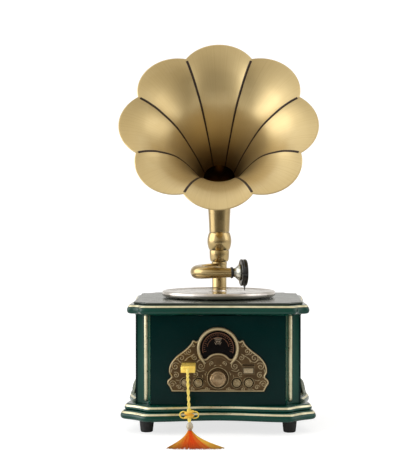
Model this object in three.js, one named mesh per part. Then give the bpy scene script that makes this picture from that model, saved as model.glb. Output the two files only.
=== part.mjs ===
// Table-top horn loudspeaker in the style of an old gramophone. Millimetres, +Z up, front towards -Y.
// The origin is on the floor, under the middle of the cabinet.
import * as THREE from 'three';

// ---------- driving dimensions ----------
const GAP = 0.3; // clearance between neighbouring pieces

const FOOT = { offset: 82, bottomR: 7, topR: 8.5, height: 14.7 };
const PLINTH_LOWER = { z0: 15, z1: 25.4, half: 113, tip: 84, recess: 13.5 };
const PLINTH_UPPER = { z0: 25.7, z1: 32.4, half: 108.5, tip: 80.5, recess: 11.5 };
const BODY = { half: 95, flat: 77, z0: 32.7, z1: 134.5, board: 6, coveR: 18 };
const CORNICE = { z0: 134.8, z1: 146.7, half: 105, tip: 88, recess: 3, inner: 82 };
const TOP = { z0: 147, z1: 149.4, half: 97, tip: 82 };

const PLATE = { back: -95.3, front: -98.5 };
const DIAL = { z: 97.5, ringR: 24, holeR: 20.3, ringFront: -102.6, ringEnd: 50, archStart: 30 };
const ARCH = { toe: [16, 84.4], foot: [12.8, 86.4], shoulder: 8, topZ: 92.2 };
const KNOB = { z: 63.6, r: 9.7, front: -111.5, stemR: 3 };
const BUTTONS = { xs: [-36.8, -22.2, 21.4, 35], z: 58.5, r: 4.7, front: -101.4 };
const BUTTON_NAMES = ['button_mode', 'button_previous', 'button_next', 'button_play'];
const KEY = { x: 34.6, z: 72.4, w: 11.2, h: 5.6, front: -100.6 };
const CARD_SLOT = { x: 34.6, z: 78.6, w: 13, h: 1.6 };
const PORT = { x: -33, z: 78, w: 14, h: 6.6, wall: 0.6, back: -86.6, front: -97.6 };
const STICK = { w: 16, h: 7.4, back: -98.9, front: -140, plugW: 12, plugH: 4.6, plugTip: -87.6 };

const PLATTER = { r: 68, z0: 150.6, z1: 157.9, holeR: 9.4 };
const COLUMN = { y: 84, baseR: 9, spigotR: 6, hubZ0: 171.8, hubZ1: 188.4, neckZ1: 203.3, ringZ1: 226 };
const TONEARM_Z = 180.1;
const SOUNDBOX = { y: -21, x0: 25.9, x1: 33.3, r: 16, turn: THREE.MathUtils.degToRad(10) };

const HORN = { mouthY: -30, mouthZ: 355.4, tilt: THREE.MathUtils.degToRad(31.8), petals: 8 };
const PETAL = { lobeR: 47, tipR: 117.4, thickness: 1.6, throatS: 118 };
const ELBOW = { bendR: 28, endR: 21.2, wall: 1.6 };

// ---------- materials ----------
const LOOKS = {
  green: { color: 0x0d2a2c, roughness: 0.22, metalness: 0 },
  black_gloss: { color: 0x171311, roughness: 0.15, metalness: 0 },
  rubber: { color: 0x0a0a0a, roughness: 0.8, metalness: 0 },
  horn_brass: { color: 0xc9ad74, roughness: 0.28, metalness: 1 },
  polished_brass: { color: 0xb08d4c, roughness: 0.15, metalness: 1 },
  bronze: { color: 0x6f6047, roughness: 0.4, metalness: 1 },
  pewter: { color: 0xb4aca4, roughness: 0.2, metalness: 1 },
  gold: { color: 0xe6c04a, roughness: 0.2, metalness: 1 },
  steel: { color: 0xb9bcc0, roughness: 0.3, metalness: 1 },
  black_plastic: { color: 0x101010, roughness: 0.5, metalness: 0 },
  dial_print: { color: 0x1c120a, roughness: 0.2, metalness: 0 },
  yellow_cord: { color: 0xe2c04e, roughness: 0.7, metalness: 0 },
  orange_fringe: { color: 0xe27a18, roughness: 0.8, metalness: 0 },
  board_green: { color: 0x1f5a35, roughness: 0.5, metalness: 0 },
};

const group = new THREE.Group();
group.name = 'horn_loudspeaker';

function addPart(name, geometry, look) {
  const mesh = new THREE.Mesh(geometry, new THREE.MeshStandardMaterial(LOOKS[look]));
  mesh.name = name;
  group.add(mesh);
}

// ---------- shape helpers ----------
const vec = (x, y, z) => new THREE.Vector3(x, y, z);

// Turns every face outwards, judged by the sign of the enclosed volume.
function turnOutward(geometry) {
  const points = geometry.getAttribute('position');
  const index = Array.from(geometry.getIndex().array);
  const corner = (i) => vec(0, 0, 0).fromBufferAttribute(points, index[i]);
  let volume = 0;
  for (let i = 0; i < index.length; i += 3) {
    volume += corner(i).dot(corner(i + 1).cross(corner(i + 2)));
  }
  if (volume < 0) {
    geometry.setIndex(index.reverse());
  }
  return geometry;
}

function closedBody(points, faces) {
  const geometry = new THREE.BufferGeometry().setFromPoints(points);
  geometry.setIndex(faces.flat());
  geometry.computeVertexNormals();
  return turnOutward(geometry);
}

// Joins rings of points into one closed skin. A ring of one point is a pole. A looped skin joins
// its last ring to its first.
function skin(rings, looped = false) {
  const starts = [];
  let count = 0;
  for (const ring of rings) {
    starts.push(count);
    count += ring.length;
  }
  const faces = [];
  const bands = looped ? rings.length : rings.length - 1;
  for (let k = 0; k < bands; k += 1) {
    const next = (k + 1) % rings.length;
    const n = Math.max(rings[k].length, rings[next].length);
    for (let i = 0; i < n; i += 1) {
      const j = (i + 1) % n;
      const a = starts[k] + (i % rings[k].length);
      const b = starts[k] + (j % rings[k].length);
      const c = starts[next] + (i % rings[next].length);
      const d = starts[next] + (j % rings[next].length);
      if (a !== b) {
        faces.push([a, b, d]);
      }
      if (c !== d) {
        faces.push([a, d, c]);
      }
    }
  }
  return closedBody(rings.flat(), faces);
}

// Revolves [radius, height] points about +Z. The profile starts and ends on the axis, or is a ring
// section that is closed here.
function revolve(profile, sides, ringSection = false) {
  const outline = ringSection ? [...profile, profile[0]] : profile;
  const points = outline.map(([r, z]) => new THREE.Vector2(r, z));
  return turnOutward(new THREE.LatheGeometry(points, sides)).rotateX(Math.PI / 2);
}

// Revolves [radius, depth] points about the Y axis; depth is the Y value.
function revolveAlongY(profile, sides, x, z) {
  const points = profile.map(([r, y]) => new THREE.Vector2(r, y));
  return turnOutward(new THREE.LatheGeometry(points, sides)).translate(x, 0, z);
}

// Sweeps circles along a planar path. With a wall the result is a tube, otherwise a solid rod.
function sweep(path, radii, planeNormal, sides, wall = 0) {
  const ringAt = (k, r) => {
    const before = path[Math.max(k - 1, 0)];
    const after = path[Math.min(k + 1, path.length - 1)];
    const across = after.clone().sub(before).normalize().cross(planeNormal);
    return Array.from({ length: sides }, (_, i) => {
      const a = (2 * Math.PI * i) / sides;
      return path[k].clone()
        .addScaledVector(planeNormal, r * Math.cos(a))
        .addScaledVector(across, r * Math.sin(a));
    });
  };
  const outer = path.map((_, k) => ringAt(k, radii[k]));
  if (wall > 0) {
    const inner = path.map((_, k) => ringAt(k, radii[k] - wall)).reverse();
    return skin([...outer, ...inner], true);
  }
  return skin([[path[0]], ...outer, [path[path.length - 1]]]);
}

// A flat piece drawn as X and Z and standing between two Y values, front face at frontY.
function frontPiece(shape, backY, frontY, curveSegments = 8) {
  const options = { depth: backY - frontY, bevelEnabled: false, curveSegments };
  return new THREE.ExtrudeGeometry(shape, options).rotateX(Math.PI / 2).translate(0, backY, 0);
}

function box(x0, x1, y0, y1, z0, z1) {
  return new THREE.BoxGeometry(x1 - x0, y1 - y0, z1 - z0)
    .translate((x0 + x1) / 2, (y0 + y1) / 2, (z0 + z1) / 2);
}

function rectanglePath(target, x, z, w, h) {
  target.moveTo(x - w / 2, z - h / 2);
  target.lineTo(x + w / 2, z - h / 2);
  target.lineTo(x + w / 2, z + h / 2);
  target.lineTo(x - w / 2, z + h / 2);
  target.closePath();
  return target;
}

function circleHole(x, z, r) {
  return new THREE.Path().absarc(x, z, r, 0, 2 * Math.PI, true);
}

// Square outline with waved sides: each side runs from tip to tip and recedes in its middle, and
// each corner is cut at 45 degrees with a shallow inward wave.
const SIDE_STEPS = 14;
const CORNER_STEPS = 4;
function wavedOutline({ half, tip, recess }, inset, z, cornerWave = 3) {
  const h = half - inset;
  const t = tip - inset * 0.4;
  const corner = [];
  for (let i = 0; i < SIDE_STEPS; i += 1) {
    const x = -t + (2 * t * i) / SIDE_STEPS;
    const wave = Math.cos((Math.PI * x) / (2 * t)) ** 2;
    corner.push([x, -h + recess * wave]);
  }
  for (let i = 0; i < CORNER_STEPS; i += 1) {
    const f = i / CORNER_STEPS;
    const dip = cornerWave * Math.sin(Math.PI * f) * Math.SQRT1_2;
    corner.push([t + (h - t) * f - dip, -h + (h - t) * f + dip]);
  }
  return quarterTurns(corner, z);
}

// Square outline with a concave quarter circle at each corner.
function covedOutline(half, coveR, z) {
  const corner = [];
  for (let i = 0; i <= 6; i += 1) {
    const a = Math.PI - (i / 6) * (Math.PI / 2);
    corner.push([half + coveR * Math.cos(a), -half + coveR * Math.sin(a)]);
  }
  return quarterTurns(corner, z);
}

function quarterTurns(corner, z) {
  const turns = [[1, 0], [0, 1], [-1, 0], [0, -1]];
  return turns.flatMap(([c, s]) => corner.map(([x, y]) => vec(x * c - y * s, x * s + y * c, z)));
}

// ---------- feet and plinth ----------
const CORNERS = [
  ['front_left', -1, -1],
  ['front_right', 1, -1],
  ['rear_left', -1, 1],
  ['rear_right', 1, 1],
];

for (const [where, sx, sy] of CORNERS) {
  const { offset, bottomR, topR, height } = FOOT;
  const profile = [[0, 0], [bottomR - 0.8, 0], [bottomR, 0.8], [topR, height], [0, height]];
  addPart(`foot_${where}`, revolve(profile, 20).translate(sx * offset, sy * offset, 0), 'rubber');
}

// profile: [inset, z] from the bottom to the top
function mouldedSlab(outline, profile) {
  const rings = profile.map(([inset, z]) => wavedOutline(outline, inset, z));
  const [bottom, top] = [profile[0][1], profile[profile.length - 1][1]];
  return skin([[vec(0, 0, bottom)], ...rings, [vec(0, 0, top)]]);
}

const lower = PLINTH_LOWER;
addPart('plinth_lower', mouldedSlab(lower, [
  [3, lower.z0],
  [0.8, lower.z0 + 1.4],
  [0, lower.z0 + 3.6],
  [1, lower.z0 + 6.6],
  [4.6, lower.z1],
]), 'green');

const upper = PLINTH_UPPER;
addPart('plinth_upper', mouldedSlab(upper, [
  [1, upper.z0],
  [0, upper.z0 + 2],
  [0.8, upper.z0 + 4.6],
  [3, upper.z1],
]), 'green');

// ---------- cabinet body ----------
const boardBack = BODY.half - BODY.board;
const boardEnd = BODY.flat - GAP / 2;

const frontBoard = new THREE.Shape();
rectanglePath(frontBoard, 0, (BODY.z0 + BODY.z1) / 2, 2 * boardEnd, BODY.z1 - BODY.z0);
const windowHole = new THREE.Path();
windowHole.moveTo(-46, 52);
windowHole.lineTo(-46, 86);
windowHole.lineTo(-18.2, 86);
windowHole.absarc(0, DIAL.z, 21.5, Math.PI + 0.565, -0.565, true);
windowHole.lineTo(46, 86);
windowHole.lineTo(46, 52);
windowHole.closePath();
frontBoard.holes.push(windowHole);
addPart('front_board', frontPiece(frontBoard, -boardBack, -BODY.half), 'green');

for (const [name, side] of [['left_board', -1], ['right_board', 1]]) {
  const [near, far] = [side * boardBack, side * BODY.half].sort((a, b) => a - b);
  addPart(name, box(near, far, -boardEnd, boardEnd, BODY.z0, BODY.z1), 'green');
}

const REAR_WINDOW = { w: 104, h: 62, z: 82 };
const rearBoard = new THREE.Shape();
rectanglePath(rearBoard, 0, (BODY.z0 + BODY.z1) / 2, 2 * boardEnd, BODY.z1 - BODY.z0);
rearBoard.holes.push(rectanglePath(new THREE.Path(), 0, REAR_WINDOW.z, REAR_WINDOW.w, REAR_WINDOW.h));
addPart('rear_board', frontPiece(rearBoard, BODY.half, boardBack), 'green');

const rearCover = new THREE.Shape();
rectanglePath(rearCover, 0, REAR_WINDOW.z, 118, 76);
for (let i = 0; i < 7; i += 1) {
  rearCover.holes.push(rectanglePath(new THREE.Path(), 0, REAR_WINDOW.z - 6 + i * 5, 56, 2.2));
}
rearCover.holes.push(circleHole(-44, REAR_WINDOW.z - 24, 4.4));
addPart('rear_cover', frontPiece(rearCover, BODY.half + 2.3, BODY.half + GAP), 'black_plastic');

const inletProfile = [
  [0, 86], [4, 86], [4, 96.6], [2.9, 96.6], [2.9, 88], [1, 88], [1, 95.5], [0, 95.5],
];
addPart('dc_inlet', revolveAlongY(inletProfile, 16, -44, REAR_WINDOW.z - 24), 'black_plastic');

// Corner posts: a cove outside, a rebate behind each neighbouring board.
const postBack = boardBack - GAP;
const postEdge = BODY.flat + GAP / 2;
const coveStart = Math.PI - Math.acos((BODY.half - postEdge) / BODY.coveR);
for (const [where, sx, sy] of CORNERS) {
  const outline = [];
  for (let i = 0; i <= 10; i += 1) {
    const a = coveStart + (i / 10) * (1.5 * Math.PI - 2 * coveStart);
    outline.push([BODY.half + BODY.coveR * Math.cos(a), BODY.half - BODY.coveR * Math.sin(a)]);
  }
  outline.push([postBack, postEdge], [postBack, 70], [70, 70], [70, postBack], [postEdge, postBack]);
  const shape = new THREE.Shape(outline.map(([x, y]) => new THREE.Vector2(sx * x, sy * y)));
  const post = new THREE.ExtrudeGeometry(shape, { depth: BODY.z1 - BODY.z0, bevelEnabled: false });
  addPart(`corner_post_${where}`, post.translate(0, 0, BODY.z0), 'green');
}

// ---------- cornice and top ----------
const cornice = CORNICE;
const corniceProfile = [
  [9.4, cornice.z0],
  [8.4, cornice.z0 + 1.2],
  [4, cornice.z0 + 1.6],
  [0.9, cornice.z0 + 2.6],
  [0, cornice.z0 + 5.4],
  [0.8, cornice.z0 + 8.8],
  [3.4, cornice.z1],
  [cornice.half - cornice.inner, cornice.z1],
  [cornice.half - cornice.inner, cornice.z0],
];
const corniceRings = corniceProfile.map(([inset, z]) => wavedOutline(cornice, inset, z, 5));
addPart('cornice', skin(corniceRings, true), 'green');

const topRings = [[1, TOP.z0], [0, TOP.z0 + 0.8], [0, TOP.z1 - 0.6], [0.6, TOP.z1]]
  .map(([inset, z]) => covedOutline(TOP.half - inset, TOP.half - TOP.tip, z));
addPart('top_board', skin([[vec(0, 0, TOP.z0)], ...topRings, [vec(0, 0, TOP.z1)]]), 'black_gloss');

// ---------- control plate ----------
// Right half of the plate's edge as [x, z], from the bottom corner to where the dial ring begins.
const PLATE_EDGE = [
  [52.8, 48], [55, 53], [58, 57.5], [57, 61.5], [53.8, 65], [56, 70.5], [54.6, 79], [48, 88],
  [39.5, 94.6], [34.5, 99], [31, 103], [28.6, 107], [24.6, 105.6],
];
const plateTop = Math.asin((105 - DIAL.z) / (DIAL.ringR + 0.4));
const plate = new THREE.Shape();
plate.moveTo(-52.8, 48);
plate.lineTo(52.8, 48);
for (const [x, z] of PLATE_EDGE.slice(1)) {
  plate.lineTo(x, z);
}
plate.absarc(0, DIAL.z, DIAL.ringR + 0.4, plateTop, Math.PI - plateTop, false);
for (const [x, z] of PLATE_EDGE.slice(1).reverse()) {
  plate.lineTo(-x, z);
}
plate.closePath();

// The dial opening: most of a circle, with an arch rising into it from below.
const archStart = THREE.MathUtils.degToRad(DIAL.archStart);
const [toeX, toeZ] = ARCH.toe;
const [footX, footZ] = ARCH.foot;
const dialOpening = new THREE.Path();
dialOpening.absarc(0, DIAL.z, DIAL.holeR, -archStart, Math.PI + archStart, false);
dialOpening.quadraticCurveTo(-toeX, toeZ, -footX, footZ);
dialOpening.quadraticCurveTo(-ARCH.shoulder, ARCH.topZ, 0, ARCH.topZ);
dialOpening.quadraticCurveTo(ARCH.shoulder, ARCH.topZ, footX, footZ);
dialOpening.quadraticCurveTo(
  toeX, toeZ, DIAL.holeR * Math.cos(archStart), DIAL.z - DIAL.holeR * Math.sin(archStart),
);
plate.holes.push(dialOpening);
plate.holes.push(circleHole(0, KNOB.z, KNOB.stemR + 0.5));
for (const x of BUTTONS.xs) {
  plate.holes.push(circleHole(x, BUTTONS.z, BUTTONS.r + 0.4));
}
plate.holes.push(rectanglePath(new THREE.Path(), KEY.x, KEY.z, KEY.w + 0.8, KEY.h + 0.8));
plate.holes.push(rectanglePath(new THREE.Path(), CARD_SLOT.x, CARD_SLOT.z, CARD_SLOT.w, CARD_SLOT.h));
plate.holes.push(rectanglePath(new THREE.Path(), PORT.x, PORT.z, PORT.w + 0.6, PORT.h + 0.6));
addPart('control_plate', frontPiece(plate, PLATE.back, PLATE.front), 'bronze');

// Bezel: a ring open at the bottom.
const ringEnd = THREE.MathUtils.degToRad(DIAL.ringEnd);
const bezel = new THREE.Shape();
bezel.absarc(0, DIAL.z, DIAL.ringR, -ringEnd, Math.PI + ringEnd, false);
bezel.absarc(0, DIAL.z, DIAL.holeR + 0.2, Math.PI + ringEnd, -ringEnd, true);
bezel.closePath();
addPart('dial_bezel', frontPiece(bezel, PLATE.front - GAP, DIAL.ringFront, 12), 'bronze');

const dialProfile = [[0, -93], [20.8, -93], [20.8, -94.9], [0, -94.9]];
addPart('dial_face', revolveAlongY(dialProfile, 32, 0, DIAL.z), 'dial_print');

const knobProfile = [
  [0, -90], [KNOB.stemR, -90], [KNOB.stemR, -98.9], [KNOB.r - 0.6, -98.9], [KNOB.r, -100.2],
  [KNOB.r * 0.95, KNOB.front + 1.6], [KNOB.r * 0.78, KNOB.front], [0, KNOB.front],
];
addPart('knob', revolveAlongY(knobProfile, 24, 0, KNOB.z), 'bronze');

BUTTONS.xs.forEach((x, i) => {
  const { r, front, z } = BUTTONS;
  const profile = [[0, -90.4], [r, -90.4], [r, front + 1], [r * 0.72, front], [0, front]];
  addPart(BUTTON_NAMES[i], revolveAlongY(profile, 16, x, z), 'bronze');
});

addPart('slot_key', box(KEY.x - KEY.w / 2, KEY.x + KEY.w / 2, KEY.front, -90.4,
  KEY.z - KEY.h / 2, KEY.z + KEY.h / 2), 'pewter');

// ---------- memory stick and its socket ----------
// Rectangle around the socket's axis at one depth
function stickRing(w, h, y) {
  return [[-1, -1], [1, -1], [1, 1], [-1, 1]]
    .map(([sx, sz]) => vec(PORT.x + (sx * w) / 2, y, PORT.z + (sz * h) / 2));
}

const portInnerW = PORT.w - 2 * PORT.wall;
const portInnerH = PORT.h - 2 * PORT.wall;
addPart('usb_socket', skin([
  [vec(PORT.x, PORT.back, PORT.z)],
  stickRing(PORT.w, PORT.h, PORT.back),
  stickRing(PORT.w, PORT.h, PORT.front),
  stickRing(portInnerW, portInnerH, PORT.front),
  stickRing(portInnerW, portInnerH, PORT.back - PORT.wall),
  [vec(PORT.x, PORT.back - PORT.wall, PORT.z)],
]), 'steel');

addPart('usb_stick', skin([
  [vec(PORT.x, STICK.plugTip, PORT.z)],
  stickRing(STICK.plugW, STICK.plugH, STICK.plugTip),
  stickRing(STICK.plugW, STICK.plugH, STICK.back),
  stickRing(STICK.w, STICK.h, STICK.back),
  stickRing(STICK.w, STICK.h, STICK.front + 1),
  stickRing(STICK.w - 2, STICK.h - 2, STICK.front),
  [vec(PORT.x, STICK.front, PORT.z)],
]), 'gold');

// ---------- tassel ----------
const CORD_R = 1.8;
const CORD_POINTS = [
  [-33, -140.4, 78], [-33, -142.4, 77.9], [-33, -146.2, 76.6], [-32.9, -149.1, 73.4],
  [-32.8, -150.4, 69], [-32.5, -151.3, 62], [-32.1, -152.4, 53], [-31.7, -153.8, 45],
  [-31.3, -155.4, 37.6],
];
const cordPath = new THREE.CatmullRomCurve3(CORD_POINTS.map((p) => vec(...p)));
const cordSection = new THREE.Shape().absarc(0, 0, CORD_R, 0, 2 * Math.PI, false);
addPart('tassel_cord', new THREE.ExtrudeGeometry(cordSection, {
  extrudePath: cordPath, steps: 14, curveSegments: 4,
}), 'yellow_cord');

function ellipsoid(centre, radii, sides, bands) {
  const profile = Array.from({ length: bands + 1 }, (_, k) => {
    const a = (Math.PI * k) / bands;
    return [k === 0 || k === bands ? 0 : Math.sin(a), -Math.cos(a)];
  });
  return revolve(profile, sides).scale(...radii).translate(...centre);
}

addPart('tassel_knot', ellipsoid([-31, -157, 30.4], [11, 5, 6.6], 16, 8), 'yellow_cord');
addPart('tassel_cap', ellipsoid([-30.2, -164.4, 18.6], [4, 4, 5.2], 12, 6), 'pewter');

// Fringe: ellipses that widen towards the floor and reach forwards over it.
const FRINGE = {
  top: [-30, -165, 13.1],
  bottom: [-23.2, -200.4, 0.4],
  topR: 3,
  wide: 33,
  deep: 10,
};
const fringeRings = [];
for (let k = 0; k <= 6; k += 1) {
  const f = k / 6;
  const spread = 0.35 * f + 0.65 * f ** 3;
  const middle = vec(...FRINGE.top).lerp(vec(...FRINGE.bottom), spread);
  middle.z = THREE.MathUtils.lerp(FRINGE.top[2], FRINGE.bottom[2], f);
  const rx = THREE.MathUtils.lerp(FRINGE.topR, FRINGE.wide, spread);
  const ry = THREE.MathUtils.lerp(FRINGE.topR, FRINGE.deep, spread);
  fringeRings.push(Array.from({ length: 24 }, (_, i) => {
    const a = (2 * Math.PI * i) / 24;
    return vec(rx * Math.cos(a), ry * Math.sin(a), 0).add(middle);
  }));
}
addPart('tassel_fringe', skin([
  [vec(...FRINGE.top)], ...fringeRings, [vec(...FRINGE.bottom)],
]), 'orange_fringe');

// ---------- side ornaments ----------
const ORNAMENT_HALF = 28;
const ORNAMENT = [
  [95.3, 35], [101, 35], [105, 38.4], [103.4, 42], [104.4, 45.6], [99.4, 48.6], [97.6, 52], [95.3, 52],
];
for (const [name, side] of [['ornament_left', -1], ['ornament_right', 1]]) {
  const shape = new THREE.Shape(ORNAMENT.map(([x, z]) => new THREE.Vector2(side * x, z)));
  addPart(name, frontPiece(shape, ORNAMENT_HALF, -ORNAMENT_HALF), 'pewter');
}

// ---------- platter ----------
addPart('platter_bearing', revolve([
  [0, 149.7], [14, 149.7], [14, 150.3], [9, 150.3], [9, 156.4], [0, 156.4],
], 24), 'steel');

const { r: plateR, z0: plateZ0, z1: plateZ1, holeR } = PLATTER;
addPart('platter', revolve([
  [holeR, plateZ0], [plateR - 3, plateZ0], [plateR - 0.6, plateZ0 + 1.6], [plateR, plateZ0 + 3.8],
  [plateR - 1, plateZ1 - 0.6], [plateR - 3, plateZ1], [plateR - 8, plateZ1 - 0.6],
  [plateR - 10, plateZ1 - 0.9], [holeR, plateZ1 - 0.9],
], 48, true), 'pewter');

// ---------- column ----------
const onColumn = (geometry) => geometry.translate(0, COLUMN.y, 0);

addPart('column_stem', onColumn(revolve([
  [0, 149.7], [12, 149.7], [12, 151.2], [COLUMN.baseR + 0.6, 153], [COLUMN.baseR, 155],
  [COLUMN.baseR, COLUMN.hubZ0 - GAP], [COLUMN.spigotR, COLUMN.hubZ0 - GAP],
  [COLUMN.spigotR, COLUMN.ringZ1 - 4], [0, COLUMN.ringZ1 - 4],
], 28)), 'polished_brass');

const bore = COLUMN.spigotR + GAP;
addPart('tonearm_hub', onColumn(revolve([
  [bore, COLUMN.hubZ0], [9.4, COLUMN.hubZ0], [9.7, COLUMN.hubZ0 + 1], [9.7, COLUMN.hubZ1 - 1],
  [9.4, COLUMN.hubZ1], [bore, COLUMN.hubZ1],
], 28, true)), 'polished_brass');

addPart('column_neck', onColumn(revolve([
  [bore, COLUMN.hubZ1 + GAP], [9.8, COLUMN.hubZ1 + GAP], [11.4, 190.4], [12.1, 193.4],
  [12.4, COLUMN.neckZ1], [bore, COLUMN.neckZ1],
], 28, true)), 'polished_brass');

const ringEndR = 12.6;
const ringProfile = [[bore, COLUMN.neckZ1 + GAP], [ringEndR, COLUMN.neckZ1 + GAP]];
for (let k = 1; k <= 5; k += 1) {
  const f = k / 6;
  const z = COLUMN.neckZ1 + GAP + (COLUMN.ringZ1 - COLUMN.neckZ1 - GAP) * f;
  ringProfile.push([ringEndR + 2.6 * Math.sin(Math.PI * f), z]);
}
ringProfile.push([ringEndR, COLUMN.ringZ1], [bore, COLUMN.ringZ1]);
addPart('coupling_ring', onColumn(revolve(ringProfile, 28, true)), 'polished_brass');

// ---------- elbow ----------
const axis = vec(0, -Math.cos(HORN.tilt), Math.sin(HORN.tilt));
const mouth = vec(0, HORN.mouthY, HORN.mouthZ);
const bendAngle = Math.PI / 2 - HORN.tilt;
const tangent = ELBOW.bendR * Math.tan(bendAngle / 2);
const cornerS = (COLUMN.y - HORN.mouthY) / Math.cos(HORN.tilt);
const cornerZ = HORN.mouthZ - cornerS * Math.sin(HORN.tilt);
const bendStartZ = cornerZ - tangent;
const elbowPath = [
  vec(0, COLUMN.y, COLUMN.ringZ1 + GAP),
  vec(0, COLUMN.y, 240),
  vec(0, COLUMN.y, bendStartZ),
];
const elbowRadii = [ringEndR, 13.2, 14.6];
const BEND_STEPS = 7;
for (let k = 1; k <= BEND_STEPS; k += 1) {
  const a = (bendAngle * k) / BEND_STEPS;
  const y = COLUMN.y - ELBOW.bendR + ELBOW.bendR * Math.cos(a);
  elbowPath.push(vec(0, y, bendStartZ + ELBOW.bendR * Math.sin(a)));
  elbowRadii.push(14.6 + (ELBOW.endR - 0.2 - 14.6) * (k / BEND_STEPS));
}
elbowPath.push(mouth.clone().addScaledVector(axis, -(PETAL.throatS + GAP)));
elbowRadii.push(ELBOW.endR);
addPart('elbow', sweep(elbowPath, elbowRadii, vec(1, 0, 0), 24, ELBOW.wall), 'polished_brass');

// ---------- horn ----------
// Radius of the seams at each distance behind the mouth
const SEAM_PROFILE = [
  [0, 103.5], [2.5, 94.6], [6, 87.2], [11, 79.4], [18, 71.6], [27, 62.6], [38, 54], [54, 45.2],
  [72, 37], [92, 28.6], [118, 19.6],
];

function seamRadius(s) {
  const k = Math.max(1, SEAM_PROFILE.findIndex(([at]) => at >= s));
  const [s0, r0] = SEAM_PROFILE[k - 1];
  const [s1, r1] = SEAM_PROFILE[k];
  return r0 + ((r1 - r0) * (s - s0)) / (s1 - s0);
}

// Radius of the rim: each petal ends in an arc whose centre lies inside the horn
function rimRadius(angle) {
  const centre = PETAL.tipR - PETAL.lobeR;
  return centre * Math.cos(angle) + Math.sqrt(PETAL.lobeR ** 2 - (centre * Math.sin(angle)) ** 2);
}

const halfPetal = Math.PI / HORN.petals;
function hornRadius(angle, s) {
  const lobe = rimRadius(angle) / rimRadius(halfPetal) - 1;
  const fade = (1 - s / PETAL.throatS) ** 3;
  return seamRadius(s) * (1 + lobe * fade);
}

const right = vec(1, 0, 0);
const upward = vec(0, Math.sin(HORN.tilt), Math.cos(HORN.tilt));
function hornPoint(angle, radius, s) {
  return mouth.clone()
    .addScaledVector(axis, -s)
    .addScaledVector(right, radius * Math.cos(angle))
    .addScaledVector(upward, radius * Math.sin(angle));
}

const ACROSS = 8;
const DEPTHS = SEAM_PROFILE.map(([s]) => s);
function petalGeometry(centreAngle) {
  const inside = [];
  const outside = [];
  for (let v = 0; v < DEPTHS.length; v += 1) {
    for (let u = 0; u <= ACROSS; u += 1) {
      const s = DEPTHS[v];
      const edge = halfPetal - GAP / 2 / seamRadius(s);
      const local = edge * ((2 * u) / ACROSS - 1);
      const before = DEPTHS[Math.max(v - 1, 0)];
      const after = DEPTHS[Math.min(v + 1, DEPTHS.length - 1)];
      const slope = (hornRadius(local, after) - hornRadius(local, before)) / (after - before);
      const step = PETAL.thickness / Math.hypot(1, slope);
      const r = hornRadius(local, s);
      inside.push(hornPoint(centreAngle + local, r, s));
      const behind = Math.min(s - slope * step, PETAL.throatS);
      outside.push(hornPoint(centreAngle + local, r + step, behind));
    }
  }
  return sheet(inside, outside, ACROSS + 1, DEPTHS.length);
}

// Closed body between two grids of points with the same columns and rows
function sheet(inside, outside, columns, rows) {
  const n = inside.length;
  const faces = [];
  const quad = (a, b, c, d) => faces.push([a, b, c], [a, c, d]);
  for (let v = 0; v + 1 < rows; v += 1) {
    for (let u = 0; u + 1 < columns; u += 1) {
      const a = v * columns + u;
      quad(a, a + 1, a + 1 + columns, a + columns);
      quad(n + a, n + a + columns, n + a + 1 + columns, n + a + 1);
    }
  }
  const border = [];
  for (let u = 0; u + 1 < columns; u += 1) {
    border.push(u);
  }
  for (let v = 0; v + 1 < rows; v += 1) {
    border.push(v * columns + columns - 1);
  }
  for (let u = columns - 1; u > 0; u -= 1) {
    border.push((rows - 1) * columns + u);
  }
  for (let v = rows - 1; v > 0; v -= 1) {
    border.push(v * columns);
  }
  border.forEach((a, i) => {
    const b = border[(i + 1) % border.length];
    quad(b, a, n + a, n + b);
  });
  return closedBody([...inside, ...outside], faces);
}

for (let k = 0; k < HORN.petals; k += 1) {
  addPart(`horn_petal_${k + 1}`, petalGeometry((2 * Math.PI * k) / HORN.petals), 'horn_brass');
}

// Collar: a ring around the joint between the petals and the elbow
const collarProfile = [
  [28.6, 107], [30, 107], [28.2, 112], [25.6, 117], [24.6, 122], [22.3, 122], [22.3, 118.6], [25.9, 110],
];
const collarRings = collarProfile.map(([r, s]) => Array.from({ length: 28 }, (_, i) => (
  hornPoint((2 * Math.PI * i) / 28, r, s)
)));
addPart('horn_collar', skin(collarRings, true), 'polished_brass');

// ---------- tonearm ----------
const ARM_POINTS = [
  [-4.6, 74.4], [-12, 56], [-19, 36], [-24, 16], [-26.1, 0], [-24.8, -10], [-19.6, -17.8],
  [-10.6, -22], [1, -23.2], [14, -21],
];
const ARM_RADII = [7.2, 7.5, 7.8, 7.9, 7.9, 7.8, 7.5, 6.9, 6.2, 5.7];
const armPath = ARM_POINTS.map(([x, y]) => vec(x, y, TONEARM_Z));
addPart('tonearm_tube', sweep(armPath, ARM_RADII, vec(0, 0, 1), 16, 1.3), 'polished_brass');

// The arm's last stretch and the soundbox point a little backwards
const [armEndX, armEndY] = ARM_POINTS[ARM_POINTS.length - 1];
function turnedWithArm(geometry) {
  return geometry.translate(-armEndX, -armEndY, 0).rotateZ(SOUNDBOX.turn).translate(armEndX, armEndY, 0);
}

// Pieces turned about the soundbox's axis; profile is [radius, distance along the axis]
function revolveAlongX(profile, sides) {
  return turnedWithArm(revolve(profile, sides).rotateY(Math.PI / 2).translate(0, SOUNDBOX.y, TONEARM_Z));
}

addPart('tonearm_end_ring', revolveAlongX([
  [0, 14.3], [6.4, 14.3], [6.9, 15.4], [6.4, 17], [0, 17],
], 20), 'black_plastic');

addPart('soundbox_cone', revolveAlongX([
  [0, 17.3], [5.2, 17.3], [6.2, 20.6], [8.4, 23], [9.8, SOUNDBOX.x0 - GAP], [0, SOUNDBOX.x0 - GAP],
], 24), 'pewter');

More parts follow.
